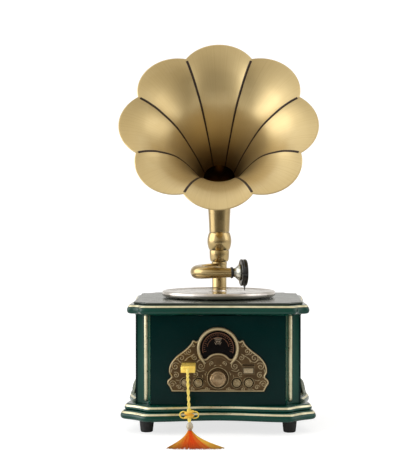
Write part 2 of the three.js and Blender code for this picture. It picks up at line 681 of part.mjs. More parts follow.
addPart('soundbox_case', revolveAlongX([
  [0, SOUNDBOX.x0], [SOUNDBOX.r - 0.8, SOUNDBOX.x0], [SOUNDBOX.r, SOUNDBOX.x0 + 1.2],
  [SOUNDBOX.r, SOUNDBOX.x1 - 1.2], [SOUNDBOX.r - 0.8, SOUNDBOX.x1], [12.4, SOUNDBOX.x1],
  [12, SOUNDBOX.x1 - 2.2], [0, SOUNDBOX.x1 - 2.2],
], 28), 'black_gloss');

addPart('soundbox_disc', revolveAlongX([
  [0, SOUNDBOX.x1 - 1.9], [11.6, SOUNDBOX.x1 - 1.9], [11.6, SOUNDBOX.x1 - 1.2],
  [3, SOUNDBOX.x1 - 0.4], [0, SOUNDBOX.x1 - 0.4],
], 24), 'pewter');

const needleTop = TONEARM_Z - SOUNDBOX.r - GAP;
addPart('needle', turnedWithArm(revolve([
  [0, 158.3], [0.35, 159], [0.8, 160.4], [0.8, needleTop - 0.8], [1.6, needleTop - 0.8],
  [1.6, needleTop], [0, needleTop],
], 10).translate(31, SOUNDBOX.y, 0)), 'steel');

// ---------- inside the cabinet ----------
addPart('circuit_board', box(-44, 44, -86.2, -84.6, 53, 104), 'board_green');
addPart('battery', box(-60, -24, -20, 48, BODY.z0, BODY.z0 + 19), 'steel');
addPart('speaker_driver', revolveAlongY([
  [0, 52], [17, 52], [17, 62], [12, 63], [28, 82], [30, 83], [30, 86], [27, 86], [8, 72], [0, 71],
], 24, 0, REAR_WINDOW.z + 5), 'black_plastic');

export default group;
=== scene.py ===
"""Table-top horn loudspeaker styled as an old gramophone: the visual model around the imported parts.

Shapes are drawn in millimetres in the model's own frame (+Z up, front towards -Y) and stored in
metres.
"""

import math
import random

import bmesh
import bpy
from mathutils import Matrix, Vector, geometry


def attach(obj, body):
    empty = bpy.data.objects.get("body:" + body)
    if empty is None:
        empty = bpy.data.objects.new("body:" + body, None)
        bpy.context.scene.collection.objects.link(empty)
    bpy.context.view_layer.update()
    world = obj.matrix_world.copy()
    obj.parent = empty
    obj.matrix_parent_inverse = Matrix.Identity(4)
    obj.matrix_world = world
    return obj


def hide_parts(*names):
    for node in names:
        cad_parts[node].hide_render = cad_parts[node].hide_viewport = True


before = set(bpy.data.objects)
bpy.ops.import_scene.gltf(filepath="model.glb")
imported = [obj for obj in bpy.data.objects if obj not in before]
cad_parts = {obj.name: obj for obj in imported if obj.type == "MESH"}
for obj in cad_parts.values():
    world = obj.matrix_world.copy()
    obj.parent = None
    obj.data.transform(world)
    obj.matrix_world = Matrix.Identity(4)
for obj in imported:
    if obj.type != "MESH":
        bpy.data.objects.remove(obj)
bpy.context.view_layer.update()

MM = 0.001
TAU = 2 * math.pi


# ---- camera
IMAGE_LONG_SIDE = 465
FOCAL_PIXELS = 1500
CAMERA_DISTANCE = 1.8
CAMERA_HEIGHT = 0.267
CAMERA_YAW = math.radians(0.9)
CAMERA_TARGET = Vector((-0.0123, 0.0, 0.2273))


def add_object(name, data):
    obj = bpy.data.objects.new(name, data)
    bpy.context.scene.collection.objects.link(obj)
    return obj


def add_camera():
    camera = add_object("camera", bpy.data.cameras.new("camera"))
    camera.location = (
        CAMERA_TARGET.x + CAMERA_DISTANCE * math.sin(CAMERA_YAW),
        -CAMERA_DISTANCE * math.cos(CAMERA_YAW),
        CAMERA_HEIGHT,
    )
    direction = CAMERA_TARGET - camera.location
    camera.rotation_euler = direction.to_track_quat("-Z", "Y").to_euler()
    camera.data.lens = FOCAL_PIXELS / IMAGE_LONG_SIDE * camera.data.sensor_width
    bpy.context.scene.camera = camera


add_camera()


# ---- material building
class Nodes:
    """Makes and joins the nodes of one tree."""

    def __init__(self, tree):
        self.tree = tree

    def node(self, kind, **settings):
        made = self.tree.nodes.new(kind)
        for key, value in settings.items():
            setattr(made, key, value)
        return made

    def link(self, source, target):
        self.tree.links.new(source, target)

    def math(self, kind, *values):
        """A math node; the values are numbers or sockets."""
        node = self.node("ShaderNodeMath", operation=kind)
        for socket, value in zip(node.inputs, values):
            if isinstance(value, (int, float)):
                socket.default_value = value
            else:
                self.link(value, socket)
        return node.outputs["Value"]

    def remap(self, value, low, high, to_low=0.0, to_high=1.0):
        node = self.node("ShaderNodeMapRange", clamp=True)
        self.link(value, node.inputs["Value"])
        limits = {"From Min": low, "From Max": high, "To Min": to_low, "To Max": to_high}
        for socket, number in limits.items():
            node.inputs[socket].default_value = number
        return node.outputs["Result"]


class Look(Nodes):
    """A principled material whose colour, roughness and bump come from node textures."""

    def __init__(self, name, color, metallic=0.0, roughness=0.4, **sockets):
        self.material = bpy.data.materials.new(name)
        self.material.use_nodes = True
        super().__init__(self.material.node_tree)
        self.shader = self.tree.nodes["Principled BSDF"]
        self.color = self.rgb(color)
        self.shader.inputs["Base Color"].default_value = (*self.color, 1)
        self.shader.inputs["Metallic"].default_value = metallic
        self.shader.inputs["Roughness"].default_value = roughness
        for key, value in sockets.items():
            socket = key.replace("_", " ").title().replace("Ior", "IOR")
            self.shader.inputs[socket].default_value = value
        self.place = self.tree.nodes.new("ShaderNodeTexCoord").outputs["Object"]
        self.color_source = None

    @staticmethod
    def rgb(color):
        """Linear values of an sRGB colour written as 0-255."""
        return tuple(((c / 255 + 0.055) / 1.055) ** 2.4 if c > 10 else c / 255 / 12.92 for c in color)

    def stretched(self, stretch):
        mapping = self.node("ShaderNodeMapping")
        mapping.inputs["Scale"].default_value = stretch
        self.link(self.place, mapping.inputs["Vector"])
        return mapping.outputs["Vector"]

    def noise(self, scale, detail=4, stretch=(1, 1, 1)):
        texture = self.node("ShaderNodeTexNoise")
        texture.inputs["Scale"].default_value = scale
        texture.inputs["Detail"].default_value = detail
        texture.inputs["Roughness"].default_value = 0.55
        self.link(self.stretched(stretch), texture.inputs["Vector"])
        return texture.outputs["Fac"]

    def attribute(self, name):
        return self.node("ShaderNodeAttribute", attribute_name=name).outputs["Fac"]

    def tint(self, mask, color):
        """Blends towards another colour where the mask is high."""
        mix = self.node("ShaderNodeMix", data_type="RGBA")
        self.link(mask, mix.inputs["Factor"])
        if self.color_source is None:
            mix.inputs["A"].default_value = (*self.color, 1)
        else:
            self.link(self.color_source, mix.inputs["A"])
        mix.inputs["B"].default_value = (*self.rgb(color), 1)
        self.color_source = mix.outputs["Result"]
        self.link(self.color_source, self.shader.inputs["Base Color"])
        return self

    def drift(self, scale, detail, low, high, amount, color):
        """Blends towards another colour in soft patches."""
        return self.tint(self.remap(self.noise(scale, detail), low, high, 0, amount), color)

    def rough(self, mask, low, high):
        self.link(self.remap(mask, 0.25, 0.75, low, high), self.shader.inputs["Roughness"])
        return self

    def bump(self, height, strength, depth):
        """Adds one layer of relief, depth in millimetres."""
        node = self.node("ShaderNodeBump")
        node.inputs["Strength"].default_value = strength
        node.inputs["Distance"].default_value = depth * MM
        self.link(height, node.inputs["Height"])
        normal = self.shader.inputs["Normal"]
        if normal.is_linked:
            self.link(normal.links[0].from_socket, node.inputs["Normal"])
        self.link(node.outputs["Normal"], normal)
        return self

    def grain(self, scale, detail, strength, depth):
        return self.bump(self.noise(scale, detail), strength, depth)


def lacquer_look(name, color, other, shine):
    look = Look(name, color, roughness=0.12, specular_ior_level=shine)
    look.drift(9, 4, 0.35, 0.7, 1, other).drift(420, 2, 0.62, 0.8, 0.2, (16, 60, 58))
    look.rough(look.noise(60), 0.1, 0.2)
    return look.grain(260, 2, 0.12, 0.05).grain(30, 2, 0.06, 0.3).material


def gold_line_look():
    look = Look("gold_line", (216, 210, 178), metallic=0.8, roughness=0.32)
    look.drift(90, 4, 0.4, 0.75, 0.6, (170, 158, 116)).rough(look.noise(300), 0.24, 0.4)
    return look.grain(700, 2, 0.15, 0.05).material


def top_look():
    look = Look("top_gloss", (60, 68, 60), roughness=0.24, specular_ior_level=0.7)
    grain = look.noise(22, 6, stretch=(0.25, 3.0, 1.0))
    look.tint(look.remap(grain, 0.42, 0.68), (76, 82, 74))
    look.rough(look.noise(40), 0.2, 0.3)
    return look.grain(200, 2, 0.05, 0.05).material


def horn_look():
    """Satin brass, darkened towards the throat by painted shade from a point attribute."""
    look = Look("horn_brass", (202, 180, 130), metallic=0.85, roughness=0.42,
                coat_weight=0.3, coat_roughness=0.3)
    look.drift(12, 4, 0.38, 0.72, 0.5, (190, 164, 108))
    look.drift(40, 4, 0.55, 0.8, 0.3, (212, 194, 150))
    brushed = look.node("ShaderNodeTexNoise", noise_dimensions="1D")
    look.link(look.attribute("around"), brushed.inputs["W"])
    brushed.inputs["Scale"].default_value = 46
    brushed.inputs["Detail"].default_value = 5
    look.tint(look.remap(brushed.outputs["Fac"], 0.45, 0.8, 0, 0.22), (176, 148, 94))
    # Painted shade: the inside darkens towards the throat, standing in for the shade deep in the horn.
    look.tint(look.remap(look.attribute("painted_throat_shade"), 0.0, 1.0), (126, 98, 56))
    look.rough(brushed.outputs["Fac"], 0.38, 0.46)
    return look.grain(700, 2, 0.08, 0.03).grain(45, 2, 0.08, 0.12).material


def seam_look():
    look = Look("seam_patina", (40, 24, 12), metallic=0.3, roughness=0.5)
    return look.drift(160, 4, 0.45, 0.7, 0.5, (70, 48, 24)).grain(600, 2, 0.2, 0.08).material


def brass_look():
    look = Look("polished_brass", (180, 158, 112), metallic=1.0, roughness=0.18)
    look.drift(35, 5, 0.4, 0.75, 0.6, (158, 134, 90)).drift(170, 4, 0.6, 0.8, 0.4, (112, 84, 48))
    look.rough(look.noise(90, 5), 0.13, 0.22)
    return look.grain(500, 3, 0.06, 0.05).material


def bronze_look():
    """Antique bronze: dark in the hollows, worn bright where the 'worn' attribute is high."""
    look = Look("aged_bronze", (76, 58, 34), metallic=0.7, roughness=0.4)
    look.drift(60, 5, 0.42, 0.7, 0.7, (108, 84, 52))
    look.tint(look.remap(look.attribute("worn"), 0.3, 1.0), (180, 164, 128))
    look.rough(look.noise(220, 4), 0.3, 0.5)
    return look.grain(520, 4, 0.35, 0.12).material


def pewter_look():
    look = Look("pewter", (168, 170, 160), metallic=1.0, roughness=0.16)
    look.drift(50, 5, 0.4, 0.75, 0.5, (150, 138, 128)).rough(look.noise(140, 4), 0.12, 0.26)
    return look.grain(600, 3, 0.08, 0.05).material


GROOVE_PITCH = 1.1 * MM


def platter_look():
    """Turned metal: fine rings around the spindle."""
    look = Look("turned_metal", (208, 202, 194), metallic=1.0, roughness=0.14)
    split = look.node("ShaderNodeSeparateXYZ")
    look.link(look.place, split.inputs["Vector"])
    length = look.node("ShaderNodeVectorMath", operation="LENGTH")
    flat = look.node("ShaderNodeCombineXYZ")
    look.link(split.outputs["X"], flat.inputs["X"])
    look.link(split.outputs["Y"], flat.inputs["Y"])
    look.link(flat.outputs["Vector"], length.inputs[0])
    wave = look.math("SINE", look.math("MULTIPLY", length.outputs["Value"], TAU / GROOVE_PITCH))
    look.drift(40, 5, 0.4, 0.75, 0.4, (150, 138, 128)).rough(look.noise(140, 4), 0.1, 0.22)
    return look.bump(wave, 0.12, 0.02).grain(600, 3, 0.06, 0.04).material


def plain_look(name, color, other, metallic, roughness, scale=120, bump=0.15, **sockets):
    """A surface whose colour drifts a little towards another one, with fine relief."""
    look = Look(name, color, metallic=metallic, roughness=roughness, **sockets)
    look.drift(scale, 5, 0.4, 0.72, 0.7, other)
    look.rough(look.noise(scale * 2, 4), roughness * 0.8, min(1.0, roughness * 1.25))
    return look.grain(scale * 6, 3, bump, 0.08).material


def thread_look(name, color, other, tip):
    """Silky thread: colour drifts by the 'strand' attribute and darkens where 'ends' is high."""
    look = Look(name, color, roughness=0.7, specular_ior_level=0.12)
    look.tint(look.remap(look.attribute("strand"), 0.0, 1.0), other)
    look.drift(260, 4, 0.55, 0.75, 0.5, tip)
    look.tint(look.remap(look.attribute("ends"), 0.0, 1.0, 0, 0.75), (104, 58, 14))
    fine = look.noise(1500, 2, stretch=(1, 1, 0.15))
    return look.bump(fine, 0.3, 0.1).material


# One green lacquer twice: the copy for mouldings, coves and posts has a lighter base, painted light for the
# light and reflections their curved faces catch.
LACQUER = lacquer_look("green_lacquer", (0, 28, 27), (0, 35, 33), 0.1)
LIT_LACQUER = lacquer_look("green_lacquer_lit", (0, 52, 42), (0, 64, 52), 0.3)
GOLD_LINE = gold_line_look()
TOP = top_look()
HORN = horn_look()
SEAM = seam_look()
BRASS = brass_look()
BRONZE = bronze_look()
PEWTER = pewter_look()
PLATTER = platter_look()
GOLD = plain_look("gold_metal", (255, 222, 108), (238, 196, 76), 0.45, 0.3)
KEY_METAL = plain_look("key_metal", (168, 152, 122), (138, 122, 94), 0.5, 0.34)
CAST_METAL = plain_look("cast_metal", (112, 118, 104), (84, 88, 76), 0.8, 0.3)
KNOB_METAL = plain_look("knob_metal", (150, 128, 98), (112, 90, 64), 0.9, 0.24)
DARK_STEEL = plain_look("dark_steel", (70, 70, 72), (48, 48, 50), 0.9, 0.3)
STEEL = plain_look("steel", (186, 188, 190), (150, 152, 154), 1.0, 0.3)
RUBBER = plain_look("rubber", (16, 16, 16), (28, 28, 27), 0.0, 0.62, 200, 0.4)
BLACK_PLASTIC = plain_look("black_plastic", (20, 20, 20), (32, 31, 30), 0.0, 0.45, 240, 0.35)
BLACK_ENAMEL = plain_look("black_enamel", (12, 11, 11), (26, 24, 23), 0.0, 0.2, 80, 0.05)
DIAL = plain_look("dial_black", (6, 4, 4), (14, 9, 8), 0.0, 0.3, 60, 0.03, specular_ior_level=0.08)
DIAL_AMBER = plain_look("dial_amber", (118, 72, 42), (90, 52, 30), 0.0, 0.4)
DIAL_PALE = plain_look("dial_pale", (140, 124, 104), (110, 94, 76), 0.0, 0.4)
BOARD_GREEN = plain_look("board_green", (24, 84, 48), (34, 104, 60), 0.0, 0.4)
BEAD = plain_look("bead_glaze", (176, 166, 140), (140, 128, 102), 0.0, 0.18, 150, 0.1, coat_weight=0.6)
CORD = thread_look("pale_cord", (232, 210, 112), (218, 186, 76), (242, 228, 156))
YELLOW = thread_look("yellow_cord", (224, 200, 92), (222, 140, 18), (236, 206, 80))
ORANGE = thread_look("orange_fringe", (204, 66, 0), (206, 172, 62), (226, 104, 8))


def smooth_mesh(name, points, faces, material):
    """A smooth-shaded mesh. Points are in metres."""
    mesh = bpy.data.meshes.new(name)
    mesh.from_pydata(points, [], faces)
    mesh.polygons.foreach_set("use_smooth", [True] * len(mesh.polygons))
    mesh.materials.append(material)
    return mesh


def piece(name, points, faces, material, body, replaces=(), crease=38):
    """One finished piece. Points are in millimetres."""
    mesh = smooth_mesh(name, [[c * MM for c in p] for p in points], faces, material)
    work = bmesh.new()
    work.from_mesh(mesh)
    bmesh.ops.recalc_face_normals(work, faces=work.faces)
    work.to_mesh(mesh)
    work.free()
    mesh.set_sharp_from_angle(angle=math.radians(crease))
    obj = add_object(name, mesh)
    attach(obj, body)
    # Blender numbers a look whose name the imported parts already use
    if replaces:
        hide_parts(*replaces)
    return obj


def point_attribute(obj, name, values):
    obj.data.attributes.new(name, "FLOAT", "POINT").data.foreach_set("value", values)


def merged(parts):
    """Puts several (points, faces) shapes together as one."""
    points, faces = [], []
    for more_points, more_faces in parts:
        start = len(points)
        points.extend(more_points)
        faces.extend([[i + start for i in face] for face in more_faces])
    return points, faces


def prism(low, high):
    """Two outlines with the same number of points, joined by side walls."""
    n = len(low)
    sides = [[i, (i + 1) % n, n + (i + 1) % n, n + i] for i in range(n)]
    return [*low, *high], [*sides, list(range(n)), list(range(n, 2 * n))]


def skin(rings, looped=False):
    """Joins rings of points. A ring of one point is a pole."""
    points, faces, starts = [], [], []
    for ring in rings:
        starts.append(len(points))
        points.extend(ring)
    bands = len(rings) if looped else len(rings) - 1
    for k in range(bands):
        a, b = rings[k], rings[(k + 1) % len(rings)]
        sa, sb = starts[k], starts[(k + 1) % len(rings)]
        n = max(len(a), len(b))
        for i in range(n):
            j = (i + 1) % n
            corners = [sa + i % len(a), sa + j % len(a), sb + j % len(b), sb + i % len(b)]
            faces.append(list(dict.fromkeys(corners)))
    return points, faces


def capped(rings):
    """Joins rings and closes both ends at their middles."""
    first, last = (
        tuple(sum(p[i] for p in ring) / len(ring) for i in range(3)) for ring in (rings[0], rings[-1])
    )
    return skin([[first], *rings, [last]])


def circle(centre, side, up, radius, sides, rise=None):
    """A ring of points about a centre; rise is its reach along up, where that isn't the radius."""
    rise = radius if rise is None else rise
    ring = []
    for i in range(sides):
        angle = TAU * i / sides
        ring.append(tuple(centre + side * (radius * math.cos(angle)) + up * (rise * math.sin(angle))))
    return ring


def filleted(profile, radius, steps=3):
    """Rounds the corners of an open outline of 2-D points."""
    result = [profile[0]]
    for before, corner, after in zip(profile, profile[1:], profile[2:]):
        b, c, a = Vector(before), Vector(corner), Vector(after)
        inward, outward = b - c, a - c
        reach = min(radius, inward.length * 0.45, outward.length * 0.45)
        start = c + inward.normalized() * reach
        end = c + outward.normalized() * reach
        for k in range(steps + 1):
            t = k / steps
            result.append(tuple(start * (1 - t) ** 2 + c * (2 * t * (1 - t)) + end * t**2))
    result.append(profile[-1])
    return result


def turned(profile, place, sides=64, fillet=0.4, looped=False, shape=None):
    """Turns [radius, height] points about an axis. place(a, b, h) puts them in the model."""
    outline = filleted([*profile, profile[0]] if looped else profile, fillet)
    rings = []
    for radius, height in outline:
        if radius < 1e-6:
            rings.append([place(0, 0, height)])
            continue
        ring = []
        for i in range(sides):
            angle = TAU * i / sides
            r = radius * (shape(angle, height) if shape else 1)
            ring.append(place(r * math.cos(angle), r * math.sin(angle), height))
        rings.append(ring)
    return skin(rings, looped)


def turned_piece(name, profile, place, material, body, node=None, sides=64, fillet=0.4, **options):
    shape = turned(profile, place, sides, fillet, **options)
    return piece(name, *shape, material, body, [node] if node else ())


def upright(x, y):
    return lambda a, b, h: (x + a, y + b, h)


def facing_front(x, z):
    """Height is the Y value."""
    return lambda a, b, h: (x + a, h, z + b)


def facing_side(y, z):
    """Height is the X value."""
    return lambda a, b, h: (h, y + a, z + b)


def curve_through(points, steps):
    """Points along a Catmull-Rom curve."""
    knots = [Vector(p) for p in points]
    ends = [knots[0] * 2 - knots[1], *knots, knots[-1] * 2 - knots[-2]]
    result = []
    for k in range(len(knots) - 1):
        p0, p1, p2, p3 = ends[k : k + 4]
        for i in range(steps):
            t = i / steps
            result.append(
                0.5 * (2 * p1 + (p2 - p0) * t + (2 * p0 - 5 * p1 + 4 * p2 - p3) * t**2
                       + (3 * p1 - p0 - 3 * p2 + p3) * t**3)
            )
    return [*result, knots[-1]]


def flat_curve(points, steps):
    """The same in the plane, as pairs."""
    return [(p.x, p.y) for p in curve_through([(a, b, 0) for a, b in points], steps)]


def clamp(value):
    return max(0.0, min(1.0, value))


def frames_along(path):
    """(point, side, up) at each point of a path, turning as little as possible."""
    result = []
    side = None
    for k, point in enumerate(path):
        tangent = (path[min(k + 1, len(path) - 1)] - path[max(k - 1, 0)]).normalized()
        if side is None:
            side = tangent.orthogonal().normalized()
        side = (side - tangent * side.dot(tangent)).normalized()
        result.append((point, side, tangent.cross(side)))
    return result


def rod(path, radii, sides=12):
    """A round solid along a path, domed at its ends. radii is one number or one for each point."""
    if not isinstance(radii, (list, tuple)):
        radii = [radii] * len(path)
    rings = [circle(*place, r, sides) for place, r in zip(frames_along(path), radii)]
    first = path[0] - (path[1] - path[0]).normalized() * radii[0] * 0.35
    last = path[-1] + (path[-1] - path[-2]).normalized() * radii[-1] * 0.35
    return skin([[tuple(first)], *rings, [tuple(last)]])


def tube(path, radii, wall, sides=48):
    """An open-ended tube with a wall."""
    frames = frames_along(path)
    outside = [circle(*place, r, sides) for place, r in zip(frames, radii)]
    inside = [circle(*place, r - wall, sides) for place, r in zip(frames, radii)]
    return skin([*outside, *reversed(inside)], looped=True)


def rounded_box(low, high, radius, steps=3):
    """A box with rounded edges, as stacked rounded rectangles."""
    (x0, y0, z0), (x1, y1, z1) = low, high
    rings = []
    for sign in (-1, 1):
        for k in range(steps + 1):
            angle = (k if sign > 0 else steps - k) / steps * math.pi / 2
            inset = radius * (1 - math.cos(angle))
            rise = radius * math.sin(angle)
            z = z1 - radius + rise if sign > 0 else z0 + radius - rise
            ring = []
            for cx, cy, start in ((x1, y1, 0), (x0, y1, 1), (x0, y0, 2), (x1, y0, 3)):
                mx = cx - radius if cx == x1 else cx + radius
                my = cy - radius if cy == y1 else cy + radius
                for i in range(steps + 1):
                    a = (start + i / steps) * math.pi / 2
                    r = radius - inset
                    ring.append((mx + r * math.cos(a), my + r * math.sin(a), z))
            rings.append(ring)
    centre = ((x0 + x1) / 2, (y0 + y1) / 2)
    return skin([[(*centre, z0)], *rings, [(*centre, z1)]])


def dress(node, material, bevel=0.0):
    """Gives a CAD node that stays in view its material and softened edges."""
    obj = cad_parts[node]
    obj.data.materials.clear()
    obj.data.materials.append(material)
    obj.data.set_sharp_from_angle(angle=math.radians(38))
    if bevel:
        softened = obj.modifiers.new("edges", "BEVEL")
        softened.width = bevel * MM
        softened.segments = 3
        softened.limit_method = "ANGLE"
        softened.angle_limit = math.radians(40)
        softened.harden_normals = True


# ---- tassel, made first
CORD_ROUTE = [
    (-33, -140.4, 78), (-33, -142.4, 77.9), (-33, -146.2, 76.6), (-32.9, -149.1, 73.4),
    (-32.8, -150.4, 69), (-32.5, -151.3, 62), (-32.1, -152.4, 53), (-31.7, -153.8, 45),
    (-31.3, -155.4, 37.6),
]
CORD_WIDTH = 3.4
# Inside the knot and the bead the cord runs on, down to the head of the fringe
CORD_INSIDE = [(-31.1, -156.6, 31), (-30.8, -160.4, 25.6), (-30.3, -163.6, 20), (-30.0, -164.8, 14.6)]


def twisted_cord(route, width, turns, plies=2, sides=8):
    """Plies wound round each other along a route."""
    frames = frames_along(route)
    ply_radius = width / 4
    parts = []
    for ply in range(plies):
        path = []
        for k, (point, side, up) in enumerate(frames):
            angle = TAU * (ply / plies + turns * k / (len(frames) - 1))
            path.append(point + (side * math.cos(angle) + up * math.sin(angle)) * ply_radius)
        parts.append(rod(path, ply_radius * 1.08, sides))
    return merged(parts)


def add_tassel():
    route = curve_through([*CORD_ROUTE, *CORD_INSIDE], 10)
    cord = piece("tassel_twisted_cord", *twisted_cord(route, CORD_WIDTH, 7), CORD, "usb_stick",
                 ["tassel_cord"])
    knot = add_knot()
    bead = add_bead()
    fringe = add_fringe()


def add_knot():
    """A flat knot: wound coils in the middle and a thin loop on each side."""
    cx, cy, cz = -31, -157, 30.4
    parts = []
    for tilt, height in ((0.5, 2.6), (-0.5, 0.4), (0.5, -1.8)):
        coil = [
            Vector((cx + 4.2 * math.cos(a), cy + 2.7 * math.sin(a), cz + height + tilt * 2.4 * math.cos(a)))
            for a in (TAU * k / 20 for k in range(21))
        ]
        parts.append(rod(coil, 1.5, 8))
    for side in (-1, 1):
        loop = curve_through([
            (cx + side * 2, cy, cz + 2), (cx + side * 6.5, cy - 0.6, cz + 3.6),
            (cx + side * 9.9, cy - 0.4, cz + 1.6), (cx + side * 9.6, cy + 0.2, cz - 2.2),
            (cx + side * 6, cy + 0.5, cz - 3.8), (cx + side * 2, cy + 0.4, cz - 3),
        ], 6)
        parts.append(rod(loop, 0.75, 8))
    for lean in (-1, 1):
        tail = curve_through([
            (cx + lean * 1.6, cy, cz - 2), (cx + 0.3 + lean * 0.9, cy - 3.6, cz - 5),
            (cx + 0.7, cy - 5.6, cz - 7.4),
        ], 6)
        parts.append(rod(tail, 1.0, 8))
    core = [Vector((cx - 0.2, cy + 1.0, cz + 6)), Vector((cx, cy, cz + 2)), Vector((cx, cy - 1, cz - 3))]
    parts.append(rod(core, 2.4, 10))
    knot = piece("tassel_bow_knot", *merged(parts), YELLOW, "usb_stick", ["tassel_knot"])
    # The coils, which come first, are the deepest orange
    shades = [0.35 + 0.35 * (k % 2) if k < 3 else 0.0 for k, part in enumerate(parts) for _ in part[0]]
    point_attribute(knot, "strand", shades)
    return knot


def add_bead():
    profile = [(0, 13.7), (1.4, 13.7), (2.3, 14.6), (3.5, 16.8), (3.8, 18.8), (3.2, 21), (1.9, 22.8),
               (1.2, 23.4), (0, 23.4)]
    place = upright(-30.2, -164.4)
    return turned_piece("tassel_bead", profile, place, BEAD, "usb_stick", "tassel_cap", 40, 0.8)


FRINGE_TOP = Vector((-30.0, -165.0, 13.6))
FRINGE_BASE = Vector((-23.2, -200.2, 0.9))
FRINGE_REACH = (32.4, 9.6)
STRANDS = 420


def add_fringe():
    """Threads that fall from the bead and spread over the floor."""
    draw = random.Random(7)
    parts, shades, ends = [], [], []
    for k in range(STRANDS):
        angle = TAU * (k + draw.random()) / STRANDS * 7
        reach = math.sqrt(draw.uniform(0.02, 1.0))
        lift = draw.uniform(0, 1.2) * (1 - reach)
        c, s = math.cos(angle), math.sin(angle)
        start = FRINGE_TOP + Vector((1.9 * c, 1.9 * s, draw.uniform(-0.4, 0.4)))
        floor = FRINGE_BASE + Vector((FRINGE_REACH[0] * reach * c, FRINGE_REACH[1] * reach * s, lift))
        path = []
        for i in range(9):
            t = i / 8
            spread = 0.35 * t + 0.65 * t**3
            flat = start.lerp(floor, spread)
            height = start.z + (floor.z - start.z) * t
            path.append(Vector((flat.x, flat.y, height + (1 - reach) * 5.5 * t * (1 - t))))
        strand = rod(path, [0.62] * 7 + [0.55, 0.3], 5)
        parts.append(strand)
        side = reach * abs(c) + 0.2 * reach * c
        shade = clamp(1.3 * side - 0.35 + draw.uniform(-0.35, 0.35))
        count = len(strand[0])
        shades.extend([shade] * count)
        ends.extend([max(0.0, (i / count - 0.72) / 0.28) for i in range(count)])
    for turn in range(3):
        wrap = [
            FRINGE_TOP + Vector((2.6 * math.cos(a), 2.6 * math.sin(a), -0.6 - turn * 0.95))
            for a in (TAU * i / 18 for i in range(19))
        ]
        band = rod(wrap, 0.55, 6)
        parts.append(band)
        shades.extend([0.9] * len(band[0]))
        ends.extend([0.0] * len(band[0]))
    fringe = piece("tassel_threads", *merged(parts), ORANGE, "usb_stick", ["tassel_fringe"])
    point_attribute(fringe, "strand", shades)
    point_attribute(fringe, "ends", ends)
    return fringe


add_tassel()


# ---- cabinet
SIDE_STEPS = 44
CORNER_STEPS = 14
PLINTH_LOWER = (113, 84, 13.5, 3)
PLINTH_UPPER = (108.5, 80.5, 11.5, 3)
CORNICE = (105, 88, 3, 5)


def waved_outline(shape, inset, z):
    """Square with waved sides and cut corners. shape is (half, tip, recess, corner wave)."""
    half, tip, recess, corner_wave = shape
    h, t = half - inset, tip - inset * 0.4
    quarter = []
    for i in range(SIDE_STEPS):
        x = -t + 2 * t * i / SIDE_STEPS
        quarter.append((x, -h + recess * math.cos(math.pi * x / (2 * t)) ** 2))
    for i in range(CORNER_STEPS):
        f = i / CORNER_STEPS
        dip = corner_wave * math.sin(math.pi * f) * math.sqrt(0.5)
        quarter.append((t + (h - t) * f - dip, -h + (h - t) * f + dip))
    return eased(four_times(quarter, z))


def eased(loop, rounds=3):
    """Softens the kinks of a closed outline."""
    for _ in range(rounds):
        loop = [
            tuple((a + 2 * b + c) / 4 for a, b, c in zip(before, here, after))
            for before, here, after in zip([loop[-1], *loop[:-1]], loop, [*loop[1:], loop[0]])
        ]
    return loop


def coved_outline(half, radius, z, steps=14):
    quarter = []
    for i in range(steps + 1):
        a = math.pi - i / steps * math.pi / 2
        quarter.append((half + radius * math.cos(a), -half + radius * math.sin(a)))
    return four_times(quarter, z)


def four_times(quarter, z):
    quarter_turns = ((1, 0), (0, 1), (-1, 0), (0, -1))
    return [(x * c - y * s, x * s + y * c, z) for c, s in quarter_turns for x, y in quarter]


def moulded_slab(shape, profile):
    profile = filleted(profile, 0.9, 4)
    rings = [waved_outline(shape, inset, z) for inset, z in profile]
    return skin([[(0, 0, profile[0][1])], *rings, [(0, 0, profile[-1][1])]])


def gold_band(name, shape, profile):
    """A gilt line lying on a moulding; profile is its outer face, and its back lies 0.8 mm inside."""
    outer = filleted(profile, 0.5, 3)
    back = [(outer[-1][0] + 0.8, outer[-1][1] - 0.3), (outer[0][0] + 0.8, outer[0][1] + 0.1)]
    rings = [waved_outline(shape, inset, z) for inset, z in [*outer, *back]]
    piece(name, *skin(rings, looped=True), GOLD_LINE, "cabinet")


def add_plinth():
    lower = [(8, 15), (3.2, 15), (1.2, 15.9), (0.1, 17.8), (0, 19.4), (0.6, 21.2), (1.6, 22.2),
             (4.8, 25.4), (8, 25.4)]
    upper = [(6, 25.7), (1.4, 25.7), (0.2, 26.6), (0, 28), (0.7, 29.4), (3.2, 32.4), (8, 32.4)]
    for name, shape, profile, node in (
        ("plinth_base_moulding", PLINTH_LOWER, lower, "plinth_lower"),
        ("plinth_top_moulding", PLINTH_UPPER, upper, "plinth_upper"),
    ):
        piece(name, *moulded_slab(shape, profile), LIT_LACQUER, "cabinet", [node])
    gold_band("gold_line_base", PLINTH_LOWER, [(1.0, 22.0), (1.3, 22.6), (2.1, 23.4), (2.7, 24.0)])
    gold_band("gold_line_plinth", PLINTH_UPPER, [(0.4, 29.1), (0.7, 29.8), (1.3, 30.6), (1.8, 31.2)])


def add_cornice():
    shape = CORNICE
    profile = [
        (23, 134.8), (9.4, 134.8), (8.6, 135.8), (6.2, 136.2), (3.4, 136.2), (1.2, 136.9), (0.2, 138.6),
        (0, 140.6), (0.5, 142.6), (1.6, 144.2), (3.6, 146.7), (23, 146.7), (23, 134.8),
    ]
    outline = filleted(profile, 0.8, 4)[:-1]
    rings = [waved_outline(shape, inset, z) for inset, z in outline]
    piece("cornice_moulding", *skin(rings, looped=True), LIT_LACQUER, "cabinet", ["cornice"])
    gold_band("gold_line_cornice", shape, [(1.3, 144.2), (1.8, 144.9), (2.4, 145.6), (2.9, 146.2)])
    top = filleted([(6, 147), (0.9, 147), (0, 147.5), (0, 148.8), (0.8, 149.4), (6, 149.4)], 0.35)
    rings = [coved_outline(97 - inset, 15, z) for inset, z in top]
    piece("top_panel", *skin([[(0, 0, 147)], *rings, [(0, 0, 149.4)]]), TOP, "cabinet", ["top_board"])


